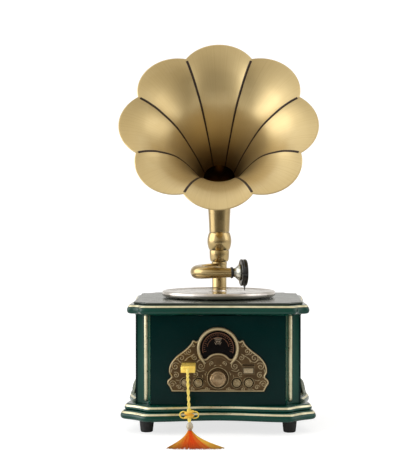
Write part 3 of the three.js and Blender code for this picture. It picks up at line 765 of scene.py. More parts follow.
COVE_RADIUS = 18
BODY_HALF = 95
BODY_LOW, BODY_TOP = 32.7, 134.5
STRIPE_LOW, STRIPE_TOP = 35.0, 133.8


def add_corner(where, sx, sy):
    edge, back = 77.15, 88.7
    start = math.pi - math.acos((BODY_HALF - edge) / COVE_RADIUS)
    outline = []
    for i in range(33):
        a = start + i / 32 * (1.5 * math.pi - 2 * start)
        outline.append((BODY_HALF + COVE_RADIUS * math.cos(a), BODY_HALF - COVE_RADIUS * math.sin(a)))
    outline += [(back, edge), (back, 70), (70, 70), (70, back), (edge, back)]
    post = prism(*([(sx * x, sy * y, z) for x, y in outline] for z in (BODY_LOW, BODY_TOP)))
    piece(f"corner_cove_{where}", *post, LIT_LACQUER, "cabinet", [f"corner_post_{where}"])
    middle = BODY_HALF - COVE_RADIUS / math.sqrt(2)
    heights = (STRIPE_LOW, STRIPE_LOW + 1.2, STRIPE_LOW + 2.6, STRIPE_TOP - 1, STRIPE_TOP)
    path = [Vector((sx * middle, sy * middle, z)) for z in heights]
    piece(f"gold_stripe_{where}", *rod(path, [0.9, 2.1, 2.7, 2.7, 2.5], 24), GOLD_LINE, "cabinet")


FOOT_OFFSET = 82


def add_foot(where, sx, sy):
    profile = [(0, 0), (5.6, 0), (7, 0.7), (7.3, 3), (8.2, 11), (8.5, 14.7), (0, 14.7)]
    place = upright(FOOT_OFFSET * sx, FOOT_OFFSET * sy)
    turned_piece(f"rubber_foot_{where}", profile, place, RUBBER, "cabinet", f"foot_{where}", 48, 0.7)


def add_body():
    for depth, sy in (("front", -1), ("rear", 1)):
        for side, sx in (("left", -1), ("right", 1)):
            add_corner(f"{depth}_{side}", sx, sy)
            add_foot(f"{depth}_{side}", sx, sy)
    for board in ("front_board", "left_board", "right_board", "rear_board"):
        dress(board, LACQUER, 0.5)
    add_plinth()
    add_cornice()


add_body()


# ---- control plate
PLATE_BACK, PLATE_FRONT, PLATE_GROUND = -95.3, -98.5, -97.35
PLATE_EDGE = [
    (52.8, 48), (55, 53), (58, 57.5), (57, 61.5), (53.8, 65), (56, 70.5), (54.6, 79), (48, 88),
    (39.5, 94.6), (34.5, 99), (31, 103), (28.6, 107), (24.6, 105.6),
]
CROWN_Z = 105
DIAL_Z, DIAL_RING, DIAL_HOLE = 97.5, 24, 20.3
DIAL_FRONT = -94.85
KNOB_Z, KNOB_R = 63.6, 9.7
BUTTONS = {"button_mode": -36.8, "button_previous": -22.2, "button_next": 21.4, "button_play": 35}
BUTTON_Z, BUTTON_R = 58.5, 4.7
KEY_X, KEY_Z, KEY_W, KEY_H = 34.6, 72.4, 11.2, 5.6
KEY_SLIT_Z = 78.6
PORT_X, PORT_Z = -33, 78
# Scrolls of the engraving's right half: centre x, centre z, largest radius, start angle, turns
SCROLLS = [
    (41.5, 86.5, 5.4, 200, 1.6), (33, 94.2, 3.8, 250, 1.4), (48.5, 77, 4.6, 140, -1.5),
    (47.6, 67.2, 3.6, 60, 1.4), (51.8, 57, 4.2, 180, -1.5), (19.2, 77.4, 4.4, 120, 1.5),
    (12.2, 51.8, 2.6, 180, 1.3), (44.4, 53.4, 2.8, 20, 1.3), (25.6, 68.4, 3.2, 300, -1.4),
    (28.4, 101.6, 2.4, 200, 1.2), (26.5, 87.2, 3.4, 60, -1.4), (13.4, 68.4, 2.2, 90, 1.2),
    (28.2, 51.6, 2.4, 90, -1.2), (53.8, 50.6, 1.6, 0, 1.2), (7.2, 80.6, 2.7, 300, 1.3),
    (2.8, 76.6, 1.7, 100, -1.2),
]
# Leaves between them, also of the right half: x, z
LEAVES = [
    [(15, 84), (20, 84.6), (24, 82), (27.5, 78)], [(27, 91), (31, 88.6), (35, 86), (37, 82)],
    [(36, 90.4), (41, 93), (45, 90)], [(43, 82), (46, 84.6), (50.4, 84)],
    [(41, 62), (44.6, 61), (47.6, 61.6)], [(8, 49.6), (16, 50.8), (24, 49.6)],
    [(33, 50), (38, 51.4), (42, 49.8)], [(14, 60), (17, 63), (17.6, 67)],
    [(52.4, 73.6), (53.6, 69), (51.2, 64.4)], [(15.6, 72.6), (21, 71.4), (24, 73.4)],
]


# The dial opening: most of a circle, with an arch rising into it from below
ARCH_START = math.radians(30)
ARCH_TOE, ARCH_FOOT, ARCH_SHOULDER, ARCH_TOP = (16, 84.4), (12.8, 86.4), 8, 92.2
ARCH_LIMIT = ARCH_TOP + 0.8
RING_END = math.radians(50)
# The relief's grid of points
GRID_PITCH, GRID_LOW, GRID_ROWS, GRID_HALF = 0.55, 48.3, 138, 105


def quadratic(a, b, c, steps=8):
    return [
        tuple(p * (1 - t) ** 2 + 2 * q * t * (1 - t) + r * t * t for p, q, r in zip(a, b, c))
        for t in (k / steps for k in range(steps))
    ]


def arch_line():
    """Lower edge of the dial opening, from its right end to its left end."""
    start = (DIAL_HOLE * math.cos(ARCH_START), DIAL_Z - DIAL_HOLE * math.sin(ARCH_START))
    top, shoulder = (0, ARCH_TOP), (ARCH_SHOULDER, ARCH_TOP)
    right = [*quadratic(start, ARCH_TOE, ARCH_FOOT), *quadratic(ARCH_FOOT, shoulder, top)]
    left = [(-x, z) for x, z in reversed(right)]
    return [*right, top, *left]


def dial_opening():
    arc = []
    for k in range(1, 60):
        a = -ARCH_START + (math.pi + 2 * ARCH_START) * k / 60
        arc.append((DIAL_HOLE * math.cos(a), DIAL_Z + DIAL_HOLE * math.sin(a)))
    return [*reversed(arch_line()), *arc]


def plate_outline():
    side = flat_curve(PLATE_EDGE[1:], 6)
    radius = DIAL_RING + 0.4
    top = math.asin((CROWN_Z - DIAL_Z) / radius)
    arc = []
    for k in range(1, 30):
        a = top + (math.pi - 2 * top) * k / 30
        arc.append((radius * math.cos(a), DIAL_Z + radius * math.sin(a)))
    x, z = PLATE_EDGE[0]
    return [(-x, z), (x, z), *side, *arc, *[(-x, z) for x, z in reversed(side)]]


ARCH_LINES = list(zip(arch_line()[:17], arch_line()[1:18]))


def segment_distance(x, z, line):
    best = 1e9
    for (x0, z0), (x1, z1) in line:
        dx, dz = x1 - x0, z1 - z0
        t = clamp(((x - x0) * dx + (z - z0) * dz) / (dx * dx + dz * dz))
        best = min(best, math.hypot(x - x0 - t * dx, z - z0 - t * dz))
    return best


def spiral(cx, cz, radius, start, turns, shrink, steps):
    """Flat points of a scroll that winds inwards."""
    line = []
    for k in range(steps + 1):
        t = k / steps
        a = math.radians(start) + TAU * turns * t
        r = radius * (1 - shrink * t)
        line.append((cx + r * math.cos(a), cz + r * math.sin(a)))
    return line


def scroll_lines():
    """Polylines of the engraving's right half, each with its bounding box."""
    lines = [spiral(*scroll, 0.88, 24) for scroll in SCROLLS] + [flat_curve(leaf, 5) for leaf in LEAVES]
    boxed = []
    for path in lines:
        xs, zs = [p[0] for p in path], [p[1] for p in path]
        boxed.append((min(xs) - 2, max(xs) + 2, min(zs) - 2, max(zs) + 2, list(zip(path, path[1:]))))
    return boxed


def bump_profile(distance, width):
    """1 on a ridge's crest, 0 beyond its width."""
    return 0.5 + 0.5 * math.cos(math.pi * distance / width) if distance < width else 0.0


def plate_height(x, z, edge_distance, lines):
    """Relief of the control plate above its ground, in millimetres."""
    height = 1.1 * bump_profile(abs(edge_distance - 1.2), 1.3)
    ax = abs(x)
    if edge_distance > 2.2:
        for x0, x1, z0, z1, line in lines:
            if x0 < ax < x1 and z0 < z < z1:
                height = max(height, 0.75 * bump_profile(segment_distance(ax, z, line), 1.05))
    ring = math.hypot(x, z - KNOB_Z)
    if ring < KNOB_R + 4.2:
        height = 0.8 * bump_profile(abs(ring - KNOB_R - 2.3), 1.1)
    for bx in BUTTONS.values():
        d = math.hypot(x - bx, z - BUTTON_Z)
        if d < BUTTON_R + 2.4:
            height = 0.7 * bump_profile(abs(d - BUTTON_R - 1.4), 0.9) if d > BUTTON_R + 0.5 else -1.6
    if abs(x - KEY_X) < KEY_W / 2 + 2 and abs(z - KEY_Z - 1.6) < KEY_H / 2 + 3.4:
        height = 0.35
        if abs(x - KEY_X) < KEY_W / 2 + 0.4 and abs(z - KEY_Z) < KEY_H / 2 + 0.4:
            height = -1.4
        if abs(x - KEY_X) < KEY_W / 2 + 0.9 and abs(z - KEY_SLIT_Z) < 0.9:
            height = -1.6
    if abs(x - PORT_X) < 8.8 and abs(z - PORT_Z) < 5:
        height = 0.35 if abs(x - PORT_X) > 7.4 or abs(z - PORT_Z) > 3.7 else -1.2
    if z < DIAL_Z and math.hypot(x, z - DIAL_Z) < DIAL_HOLE + 2:
        rim = segment_distance(ax, z, ARCH_LINES)
        if rim < 3.4 and z < ARCH_LIMIT:
            height = 0.25 + 0.85 * bump_profile(abs(rim - 1.2), 1.25)
        elif rim < 5.6 and ax < 15 and z < ARCH_LIMIT:
            height = 0.5 * bump_profile(abs(rim - 4.5), 0.8)
    return height


def crossings(z, edges):
    """Where the line at height z crosses the edges, left to right."""
    return sorted(
        x0 + (z - z0) / (z1 - z0) * (x1 - x0) for (x0, z0), (x1, z1) in edges if (z0 > z) != (z1 > z)
    )


def add_control_plate():
    """The plate as one relief: a fine grid of points inside its outline, lifted by plate_height."""
    outline, opening = plate_outline(), dial_opening()
    lines = scroll_lines()
    loops = [outline, opening]
    points = [Vector(p) for loop in loops for p in loop]
    links, start = [], 0
    for loop in loops:
        n = len(loop)
        links += [(start + i, start + (i + 1) % n) for i in range(n)]
        start += n
    border = list(zip(outline, outline[1:] + outline[:1]))
    hole = list(zip(opening, opening[1:] + opening[:1]))
    for r in range(GRID_ROWS):
        z = GRID_LOW + r * GRID_PITCH
        cuts = crossings(z, border + hole)
        for c in range(-GRID_HALF, GRID_HALF + 1):
            x = c * GRID_PITCH + (0.5 * GRID_PITCH if r % 2 else 0)
            if any(a + 0.25 < x < b - 0.25 for a, b in zip(cuts[::2], cuts[1::2])):
                points.append(Vector((x, z)))
    flat, _, faces, *_ = geometry.delaunay_2d_cdt(points, links, [], 1, 1e-4)
    kept = []
    for face in faces:
        x = sum(flat[i].x for i in face) / 3
        z = sum(flat[i].y for i in face) / 3
        if sum(cut < x for cut in crossings(z, hole)) % 2 == 0:
            kept.append(face)
    front, worn = [], []
    for p in flat:
        close = [((x0, z0), (x1, z1)) for (x0, z0), (x1, z1) in border
                 if min(x0, x1) - 3 < p.x < max(x0, x1) + 3 and min(z0, z1) - 3 < p.y < max(z0, z1) + 3]
        edge = segment_distance(p.x, p.y, close) if close else 9.0
        height = plate_height(p.x, p.y, edge, lines)
        front.append((p.x, PLATE_GROUND - height, p.y))
        worn.append(clamp(height / 0.9))
    count = len(flat)
    back = [(x, PLATE_BACK, z) for x, _, z in front]
    rim = {(a, b) for face in kept for a, b in zip(face, face[1:] + face[:1])}
    sides = [[a, b, count + b, count + a] for a, b in sorted(rim) if (b, a) not in rim]
    all_faces = [list(f) for f in kept] + [[count + i for i in reversed(f)] for f in kept] + sides
    plate = piece("engraved_plate", front + back, all_faces, BRONZE, "cabinet", ["control_plate"], 50)
    point_attribute(plate, "worn", worn + [0.2] * count)


def worn_all_over(obj, amount):
    point_attribute(obj, "worn", [amount] * len(obj.data.vertices))


def add_dial():
    face = [(0, -93), (20.8, -93), (20.8, -94.9), (0, -94.9)]
    turned_piece("dial_plate", face, facing_front(0, DIAL_Z), DIAL, "cabinet", "dial_face", 72, 0.2)
    inner, y_back, y_front = DIAL_HOLE + 0.2, PLATE_FRONT - 0.3, -102.6
    section = [(DIAL_RING, y_back), (DIAL_RING, y_front + 1.6), (DIAL_RING - 1.0, y_front),
               (inner + 1.2, y_front), (inner, y_front + 1.8), (inner, y_back)]
    section = filleted(section, 0.6, 3)
    rings = []
    for k in range(81):
        f = k / 80
        a = -RING_END + (math.pi + 2 * RING_END) * f
        taper = min(1.0, 0.35 + 12 * min(f, 1 - f))
        middle = (inner + DIAL_RING) / 2
        ring = []
        for r, y in section:
            radius = middle + (r - middle) * taper
            depth = y_back + (y - y_back) * taper
            ring.append((radius * math.cos(a), depth, DIAL_Z + radius * math.sin(a)))
        rings.append(ring)
    shape = capped(rings)
    bezel = piece("dial_ring", *shape, BRONZE, "cabinet", ["dial_bezel"])
    worn_all_over(bezel, 1.1)
    add_dial_marks()


def flat_arc(radius, width, start, end, thick=0.3, steps=40):
    """A thin arc standing just proud of the dial."""
    rings = []
    for k in range(steps + 1):
        a = math.radians(start + (end - start) * k / steps)
        rings.append([
            ((radius + dr) * math.cos(a), DIAL_FRONT + dy, DIAL_Z + (radius + dr) * math.sin(a))
            for dr, dy in ((-width / 2, 0), (width / 2, 0), (width / 2, -thick), (-width / 2, -thick))
        ])
    return capped(rings)


def add_dial_marks():
    amber = [flat_arc(17.6, 0.8, -18, 198), flat_arc(12.4, 0.5, 8, 172)]
    for k in range(25):
        a = -14 + 208 * k / 24
        radius, length = (15.6, 1.9) if k % 4 else (15.0, 3.0)
        amber.append(flat_arc(radius, length, a - 0.9, a + 0.9, 0.3, 2))
    piece("dial_scale", *merged(amber), DIAL_AMBER, "cabinet")
    fan = [flat_arc(8.2 + 1.7 * k, 0.7, 71 - 2 * k, 109 + 2 * k, 0.35, 14) for k in range(3)]
    fan += [flat_arc(6.2, 3.4, a - 2.2, a + 2.2, 0.3, 3) for a in (62, 76, 90, 104, 118)]
    piece("dial_fan_mark", *merged(fan), DIAL_PALE, "cabinet")


def add_knob():
    def facets(angle, y):
        """Ten nearly flat sides, in front of the plain shaft."""
        sector = TAU / 10
        return 1.0 if y > -98.95 else 0.25 + 0.735 / math.cos(angle % sector - sector / 2)

    profile = [
        (0, -90), (3, -90), (3, -98.9), (KNOB_R - 0.8, -98.9), (KNOB_R, -99.9), (KNOB_R, -107.6),
        (KNOB_R - 0.9, -109.4), (KNOB_R - 2.2, -110.2), (KNOB_R - 2.9, -109.4), (KNOB_R - 3.6, -109.2),
        (KNOB_R - 4.6, -109.9), (2.4, -110.4), (0, -110.5),
    ]
    shape = turned(profile, facing_front(0, KNOB_Z), 120, 0.35, shape=facets)
    knob = piece("knob_faceted", *shape, KNOB_METAL, "knob", ["knob"], 28)
    values = []
    for v in knob.data.vertices:
        r = math.hypot(v.co.x / MM, v.co.z / MM - KNOB_Z)
        values.append(1.0 if r > KNOB_R - 2.9 else 0.3)
    point_attribute(knob, "worn", values)


def box_around(x, z, half_width, half_height, front, back, radius):
    low, high = (x - half_width, front, z - half_height), (x + half_width, back, z + half_height)
    return rounded_box(low, high, radius)


def add_buttons():
    profile = [
        (0, -90.4), (BUTTON_R, -90.4), (BUTTON_R, -100.0), (BUTTON_R - 0.7, -101.0),
        (BUTTON_R - 1.2, -100.9), (BUTTON_R - 1.6, -100.3), (BUTTON_R - 2.4, -100.8), (1.2, -101.3),
        (0, -101.4),
    ]
    for name, x in BUTTONS.items():
        place = facing_front(x, BUTTON_Z)
        button = turned_piece(f"{name}_cap", profile, place, BRONZE, name, name, 48, 0.3)
        worn_all_over(button, 0.66)
    parts = [box_around(KEY_X, KEY_Z, KEY_W / 2, KEY_H / 2, -100.6, -90.4, 0.6)]
    parts += [box_around(KEY_X + dx, KEY_Z, 0.5, 1.7, -100.95, -100.3, 0.3) for dx in (-3, 0, 3)]
    piece("key_cap", *merged(parts), KEY_METAL, "slot_key", ["slot_key"])


def add_stick():
    body = box_around(PORT_X, PORT_Z, 8, 3.7, -139, -98.9, 1.0)
    cap = box_around(PORT_X, PORT_Z, 7, 2.8, -140, -137.6, 0.8)
    plug = box_around(PORT_X, PORT_Z, 6, 2.3, -99.2, -87.6, 0.3)
    piece("memory_stick", *merged([body, cap, plug]), GOLD, "usb_stick", ["usb_stick"])
    dress("usb_socket", STEEL, 0.1)


add_control_plate()
add_dial()
add_knob()
add_buttons()
add_stick()


# ---- sides and rear
WALL = 95.3
MOUNT_LOW = 35
MOUNT_FOOT = [
    (WALL, 35), (103.6, 35), (104.8, 36), (104.6, 37.2), (102.8, 38.2), (100.6, 38.8), (WALL, 39.4),
]
MOUNT_TAIL = [
    (27, 37.6), (24.6, 39.4), (23.6, 42), (22.4, 45.4), (19.4, 48.2), (15.6, 48.6), (12.6, 46.6),
]
SCROLL_EYE = (18.6, 42.6)
MOUNT_SCROLL = [(11.4, 38.6), (14.6, 40.4), *spiral(*SCROLL_EYE, 4.6, 210, -1.5, 0.84, 40)]
MOUNT_BACK = [
    (-26, 35.6), (26, 35.6), (24.6, 43), (17, 49.6), (9, 49.4), (0, 51.2), (-9, 49.4), (-17, 49.6),
    (-24.6, 43),
]


def add_ornament(name, side):
    """A cast mount on the side wall: a shell between two scrolls, on a moulded foot."""
    def on_mount(y, z, out=0.0):
        """A point on the mount's front, which leans back towards its top."""
        return Vector((side * (100.6 - 0.22 * max(0.0, z - 38) + out), y, z))

    rings = []
    for k in range(41):
        t = 2 * k / 40 - 1
        shrink = math.sqrt(max(0.0, 1 - abs(t) ** 8)) * 0.9 + 0.1
        rings.append([
            (side * (WALL + (x - WALL) * shrink), 27.8 * t, MOUNT_LOW + (z - MOUNT_LOW) * shrink)
            for x, z in filleted(MOUNT_FOOT, 0.5)
        ])
    parts = [capped(rings)]
    for k in range(7):
        lift = math.radians(28 + 124 * k / 6)
        reach = 12.2 + 1.9 * math.sin(lift)
        rib = []
        for i in range(9):
            t = i / 8
            y, z = reach * t * math.cos(lift), 37.4 + reach * t * math.sin(lift)
            rib.append(on_mount(y, z, 1.6 * math.sin(math.pi * t)))
        parts.append(rod(rib, [0.9, 1.2, 1.5, 1.8, 2.0, 2.1, 2.1, 1.9, 1.3], 12))
    for hand in (-1, 1):
        scroll = [on_mount(hand * y, z) for y, z in MOUNT_SCROLL]
        parts.append(rod(scroll, [1.9 - 1.0 * k / len(scroll) for k in range(len(scroll))], 10))
        leaf = [on_mount(hand * y, z, -0.6) for y, z in flat_curve(MOUNT_TAIL, 5)]
        swell = [math.sin(math.pi * (k + 1) / (len(leaf) + 1)) for k in range(len(leaf))]
        parts.append(rod(leaf, [0.8 + 1.0 * s for s in swell], 10))
        eye = on_mount(hand * SCROLL_EYE[0], SCROLL_EYE[1], 0.8)
        parts.append(rod([eye + Vector((0, 0, dz)) for dz in (-0.7, 0, 0.7)], [1.1, 1.5, 1.1], 12))
    parts.append(prism([(side * WALL, y, z) for y, z in MOUNT_BACK],
                       [(side * 97.4, y * 0.97, 35.6 + (z - 35.6) * 0.97) for y, z in MOUNT_BACK]))
    piece(f"scroll_{name}", *merged(parts), CAST_METAL, "cabinet", [name])


def add_rear():
    dress("rear_cover", BLACK_PLASTIC, 0.4)
    dress("dc_inlet", BLACK_PLASTIC, 0.1)
    profile = [(0, 97.2), (2.6, 97.2), (2.6, 97.9), (1.8, 98.6), (0.5, 98.8), (0.5, 98.3), (0, 98.3)]
    for k, (x, z) in enumerate(((-54, 49), (54, 49), (-54, 115), (54, 115))):
        place = facing_front(x, z)
        turned_piece(f"cover_screw_{k + 1}", profile, place, STEEL, "cabinet", None, 32, 0.2)


add_ornament("ornament_left", -1)
add_ornament("ornament_right", 1)
add_rear()
dress("circuit_board", BOARD_GREEN, 0.4)
dress("battery", BLACK_PLASTIC, 0.4)
dress("speaker_driver", BLACK_PLASTIC, 0.4)


# ---- platter and column
COLUMN_Y = 84


def add_platter():
    profile = [
        (9.4, 150.6), (64.6, 150.6), (66.4, 151.2), (67.6, 152.8), (68, 154.6), (67.8, 156.2), (67, 157.4),
        (65.6, 157.9), (64.2, 157.7), (63.2, 157.0), (60.2, 156.9), (59.7, 156.5), (59.2, 156.9), (40, 157.0),
        (39.6, 156.7), (39.2, 157.0), (14, 157.0), (13, 157.3), (9.4, 157.3),
    ]
    place = upright(0, 0)
    turned_piece("platter_disc", profile, place, PLATTER, "platter", "platter", 160, 0.35, looped=True)
    hub = [(0, 149.7), (14, 149.7), (14, 150.3), (9, 150.3), (9, 156.2), (8, 156.4), (3, 156.4), (0, 156.4)]
    turned_piece("bearing_hub", hub, place, STEEL, "cabinet", "platter_bearing", 64, 0.2)


def add_column():
    """Stem, tonearm hub, neck and coupling, from the top board up to the elbow."""
    stem = [
        (0, 149.7), (12, 149.7), (12, 150.8), (11, 151.8), (9.9, 152.4), (9.5, 153.6), (9, 155), (9, 171.5),
        (6, 171.5), (6, 222), (0, 222),
    ]
    hub = [
        (6.3, 171.8), (9.4, 171.8), (9.7, 172.6), (9.7, 174), (9.35, 174.4), (9.35, 185.8), (9.7, 186.2),
        (9.7, 187.6), (9.4, 188.4), (6.3, 188.4),
    ]
    neck = [
        (6.3, 188.7), (9.6, 188.7), (10.6, 189.3), (11.4, 190.5), (12, 193.2), (12.2, 197), (12.4, 203.3),
        (6.3, 203.3),
    ]
    bulge = [(12.5 + 2.6 * math.sin(math.pi * k / 12) ** 0.8, 203.6 + 22.4 * (k / 12)) for k in range(1, 12)]
    coupling = [(6.3, 203.6), (12.4, 203.6), *bulge, (12.4, 226), (6.3, 226)]
    for name, profile, body, node, fillet, looped in (
        ("column_foot", stem, "cabinet", "column_stem", 0.5, False),
        ("tonearm_bearing", hub, "tonearm", "tonearm_hub", 0.25, True),
        ("column_collar", neck, "cabinet", "column_neck", 0.6, True),
        ("coupling_bulb", coupling, "horn", "coupling_ring", 0.4, True),
    ):
        place = upright(0, COLUMN_Y)
        turned_piece(name, profile, place, BRASS, body, node, 72, fillet, looped=looped)


add_platter()
add_column()


# ---- horn
TILT = math.radians(31.8)
MOUTH = Vector((0, -30, 355.4))
AXIS = Vector((0, -math.cos(TILT), math.sin(TILT)))
RIGHT = Vector((1, 0, 0))
UPWARD = Vector((0, math.sin(TILT), math.cos(TILT)))
THROAT = 118.0
SHADE_START = 66
LOBE_R, TIP_R, SHEET = 47, 117.4, 1.5
PETALS = 8
HALF_PETAL = math.pi / PETALS
SEAM_PROFILE = [
    (0, 103.5), (2.5, 94.6), (6, 87.2), (11, 79.4), (18, 71.6), (27, 62.6), (38, 54), (54, 45.2),
    (72, 37), (92, 28.6), (118, 19.6),
]
SEAM_CURVE = flat_curve(SEAM_PROFILE, 12)


def seam_radius(s):
    for (s0, r0), (s1, r1) in zip(SEAM_CURVE, SEAM_CURVE[1:]):
        if s <= s1:
            return r0 + (r1 - r0) * (s - s0) / (s1 - s0)
    return SEAM_CURVE[-1][1]


def rim_radius(angle):
    centre = TIP_R - LOBE_R
    return centre * math.cos(angle) + math.sqrt(LOBE_R**2 - (centre * math.sin(angle)) ** 2)


def horn_radius(angle, s):
    lobe = rim_radius(angle) / rim_radius(HALF_PETAL) - 1
    return seam_radius(s) * (1 + lobe * max(0.0, 1 - s / THROAT) ** 3)


# Strength of the painted shade inside the horn, from SHADE_START down to the throat.
def depth_shade(s):
    return clamp((s - SHADE_START) / (THROAT - SHADE_START)) ** 1.4


def horn_point(angle, radius, s):
    return MOUTH - AXIS * s + RIGHT * (radius * math.cos(angle)) + UPWARD * (radius * math.sin(angle))


DEPTHS = [THROAT * (k / 44) ** 1.7 for k in range(45)]


def sheet_point(kind, centre, across, s):
    """A point of a petal, across from -1 to 1, on its inner or outer face or on its rim."""
    local = (HALF_PETAL - 0.12 / seam_radius(s)) * across
    r = horn_radius(local, s)
    behind, ahead = horn_radius(local, max(s - 0.4, 0)), horn_radius(local, s + 0.4)
    slope = (ahead - behind) / (0.4 + min(s, 0.4))
    step = SHEET / math.hypot(1, slope)
    if kind == "out":
        r, s = r + step, min(s - slope * step, THROAT)
    elif kind == "rim":
        r, s = r + step * 0.5 + 0.75, -slope * step * 0.5 - 0.1
    return tuple(horn_point(centre + local, r, s))


def add_petal(number):
    """One petal: inner and outer sheets with a rolled rim."""
    centre = TAU * (number - 1) / PETALS
    across = 24
    columns = across + 1
    rows = [("in", s) for s in reversed(DEPTHS)] + [("rim", 0.0)] + [("out", s) for s in DEPTHS]
    points = [sheet_point(kind, centre, 2 * u / across - 1, s) for kind, s in rows for u in range(columns)]
    last = len(rows) - 1
    faces = []
    for v in range(last):
        for u in range(across):
            a = v * columns + u
            faces.append([a, a + 1, a + 1 + columns, a + columns])
    for v in range(len(DEPTHS)):
        for side in (0, across):
            a, b = v * columns + side, (last - v) * columns + side
            if last - v - 1 > v + 1:
                faces.append([a, a + columns, b - columns, b])
            else:
                faces.append([a, a + columns, b])
    for u in range(across):
        faces.append([u, u + 1, last * columns + u + 1, last * columns + u])
    petal = piece(f"petal_{number}", points, faces, HORN, "horn", [f"horn_petal_{number}"], 50)
    # Painted shade on the inner faces only, growing towards the throat.
    painted_throat_shade = [depth_shade(s) if kind == "in" else 0.0 for kind, s in rows for _ in range(columns)]
    point_attribute(petal, "painted_throat_shade", painted_throat_shade)
    point_attribute(petal, "around", [centre + u / across for _ in rows for u in range(columns)])


def add_seam(number):
    """The dark line inside the horn and the folded rib outside, between two petals."""
    angle = TAU * (number - 1) / PETALS + HALF_PETAL
    around = RIGHT * -math.sin(angle) + UPWARD * math.cos(angle)
    outward = RIGHT * math.cos(angle) + UPWARD * math.sin(angle)

    def strip(offset, half_width, rise, start, end):
        rings = []
        steps = 60
        for k in range(steps + 1):
            s = start + (end - start) * (k / steps) ** 1.5
            r = seam_radius(s)
            slope = (seam_radius(s + 0.5) - seam_radius(max(0, s - 0.5))) / (0.5 + min(0.5, s))
            normal = (outward + AXIS * slope).normalized()
            width = half_width * (0.55 + 0.45 * (1 - s / THROAT))
            middle = horn_point(angle, r, s) + normal * offset
            rings.append(circle(middle, around, normal, width, 10, rise))
        return capped(rings)

    piece(f"seam_line_{number}", *strip(0.15, 1.5, 0.55, 0.6, THROAT - 0.5), SEAM, "horn")
    piece(f"seam_rib_{number}", *strip(SHEET + 0.25, 1.4, 0.7, 1.5, THROAT - 14), HORN, "horn")


def add_elbow():
    bend_r, end_r, wall = 28, 21.2, 1.6
    turn = math.pi / 2 - TILT
    corner_s = (COLUMN_Y - MOUTH.y) / math.cos(TILT)
    start_z = MOUTH.z - corner_s * math.sin(TILT) - bend_r * math.tan(turn / 2)
    path = [Vector((0, COLUMN_Y, z)) for z in (226.3, 228, 234, 240, 246, 252, 258, 264)]
    path.append(Vector((0, COLUMN_Y, start_z)))
    radii = [12.6, 12.7, 12.9, 13.2, 13.5, 13.9, 14.2, 14.5, 14.8]
    for k in range(1, 21):
        a = turn * k / 20
        y = COLUMN_Y - bend_r + bend_r * math.cos(a)
        path.append(Vector((0, y, start_z + bend_r * math.sin(a))))
        radii.append(14.8 + (end_r - 14.9) * (k / 20) ** 1.2)
    path.append(horn_point(0, 0, THROAT + 0.3))
    radii.append(end_r)
    piece("elbow_tube", *tube(path, radii, wall), BRASS, "horn", ["elbow"])
    collar = [(28.4, 107), (30, 107.2), (28.2, 112), (25.6, 117), (24.6, 122), (22.3, 122), (22.3, 118.6),
              (25.9, 110), (28.4, 107)]
    collar = filleted(collar, 0.5)[:-1]
    rings = [[tuple(horn_point(TAU * i / 64, r, s)) for i in range(64)] for r, s in collar]
    piece("throat_collar", *skin(rings, looped=True), BRASS, "horn", ["horn_collar"])


for petal_number in range(1, PETALS + 1):
    add_petal(petal_number)
    add_seam(petal_number)
add_elbow()


# ---- tonearm
ARM_Z = 180.1
ARM_ROUTE = [
    (-4.6, 74.4), (-12, 56), (-19, 36), (-24, 16), (-26.1, 0), (-24.8, -10), (-19.6, -17.8), (-10.6, -22),
    (1, -23.2), (14, -21),
]
ARM_RADII = [7.2, 7.5, 7.8, 7.9, 7.9, 7.8, 7.5, 6.9, 6.2, 5.7]
BOX_Y = -21
BOX_TURN = math.radians(10)
ARM_END = (14, -21)


def turned_with_arm(place):
    """The soundbox's own frame, turned about the end of the arm."""
    c, s = math.cos(BOX_TURN), math.sin(BOX_TURN)

    def put(a, b, h):
        x, y, z = place(a, b, h)
        dx, dy = x - ARM_END[0], y - ARM_END[1]
        return (ARM_END[0] + dx * c - dy * s, ARM_END[1] + dx * s + dy * c, z)

    return put


def add_tonearm():
    steps = 8
    path = curve_through([(x, y, ARM_Z) for x, y in ARM_ROUTE], steps)
    radii = []
    for k in range(len(path)):
        i, f = divmod(k, steps)
        nxt = min(i + 1, len(ARM_RADII) - 1)
        radii.append(ARM_RADII[i] + (ARM_RADII[nxt] - ARM_RADII[i]) * f / steps)
    piece("arm_tube", *tube(path, radii, 1.3, 40), BRASS, "tonearm", ["tonearm_tube"])
    ring = [(0, 14.3), (6.2, 14.3), (6.9, 14.9), (6.9, 15.5), (6.3, 16.1), (6.6, 16.6), (6.3, 17), (0, 17)]
    cone = [
        (0, 17.3), (5.0, 17.3), (5.3, 19), (6.2, 20.6), (7.8, 22.2), (9.2, 24), (9.7, 25.2), (9.4, 25.6),
        (0, 25.6),
    ]
    case = [
        (0, 25.9), (14.6, 25.9), (15.8, 26.5), (16, 27.4), (15.7, 28.6), (15.4, 29.4), (15.9, 30.4),
        (16, 32.2), (15.3, 33.2), (13.6, 33.3), (12.4, 32.8), (12, 31.2), (0, 31.2),
    ]
    disc = [
        (0, 31.4), (11.6, 31.4), (11.6, 31.9), (9.6, 32.1), (9.0, 31.8), (6, 32.1), (5.4, 31.9),
        (3, 32.6), (0, 32.9),
    ]
    place = turned_with_arm(facing_side(BOX_Y, ARM_Z))
    for name, profile, material, body, node, sides, fillet in (
        ("arm_end_ring", ring, BLACK_PLASTIC, "tonearm", "tonearm_end_ring", 48, 0.25),
        ("box_cone", cone, PEWTER, "soundbox", "soundbox_cone", 64, 0.4),
        ("box_case", case, BLACK_ENAMEL, "soundbox", "soundbox_case", 72, 0.4),
        ("box_membrane", disc, PEWTER, "soundbox", "soundbox_disc", 64, 0.25),
    ):
        turned_piece(name, profile, place, material, body, node, sides, fillet)
    top = ARM_Z - 15.8
    pin = [
        (0, 158.3), (0.3, 158.9), (0.55, 160.2), (0.8, 161.4), (0.8, top - 0.9), (1.6, top - 0.8),
        (1.6, top), (0, top),
    ]
    below = turned_with_arm(upright(31, BOX_Y))
    turned_piece("stylus", pin, below, DARK_STEEL, "soundbox", "needle", 24, 0.1)


add_tonearm()


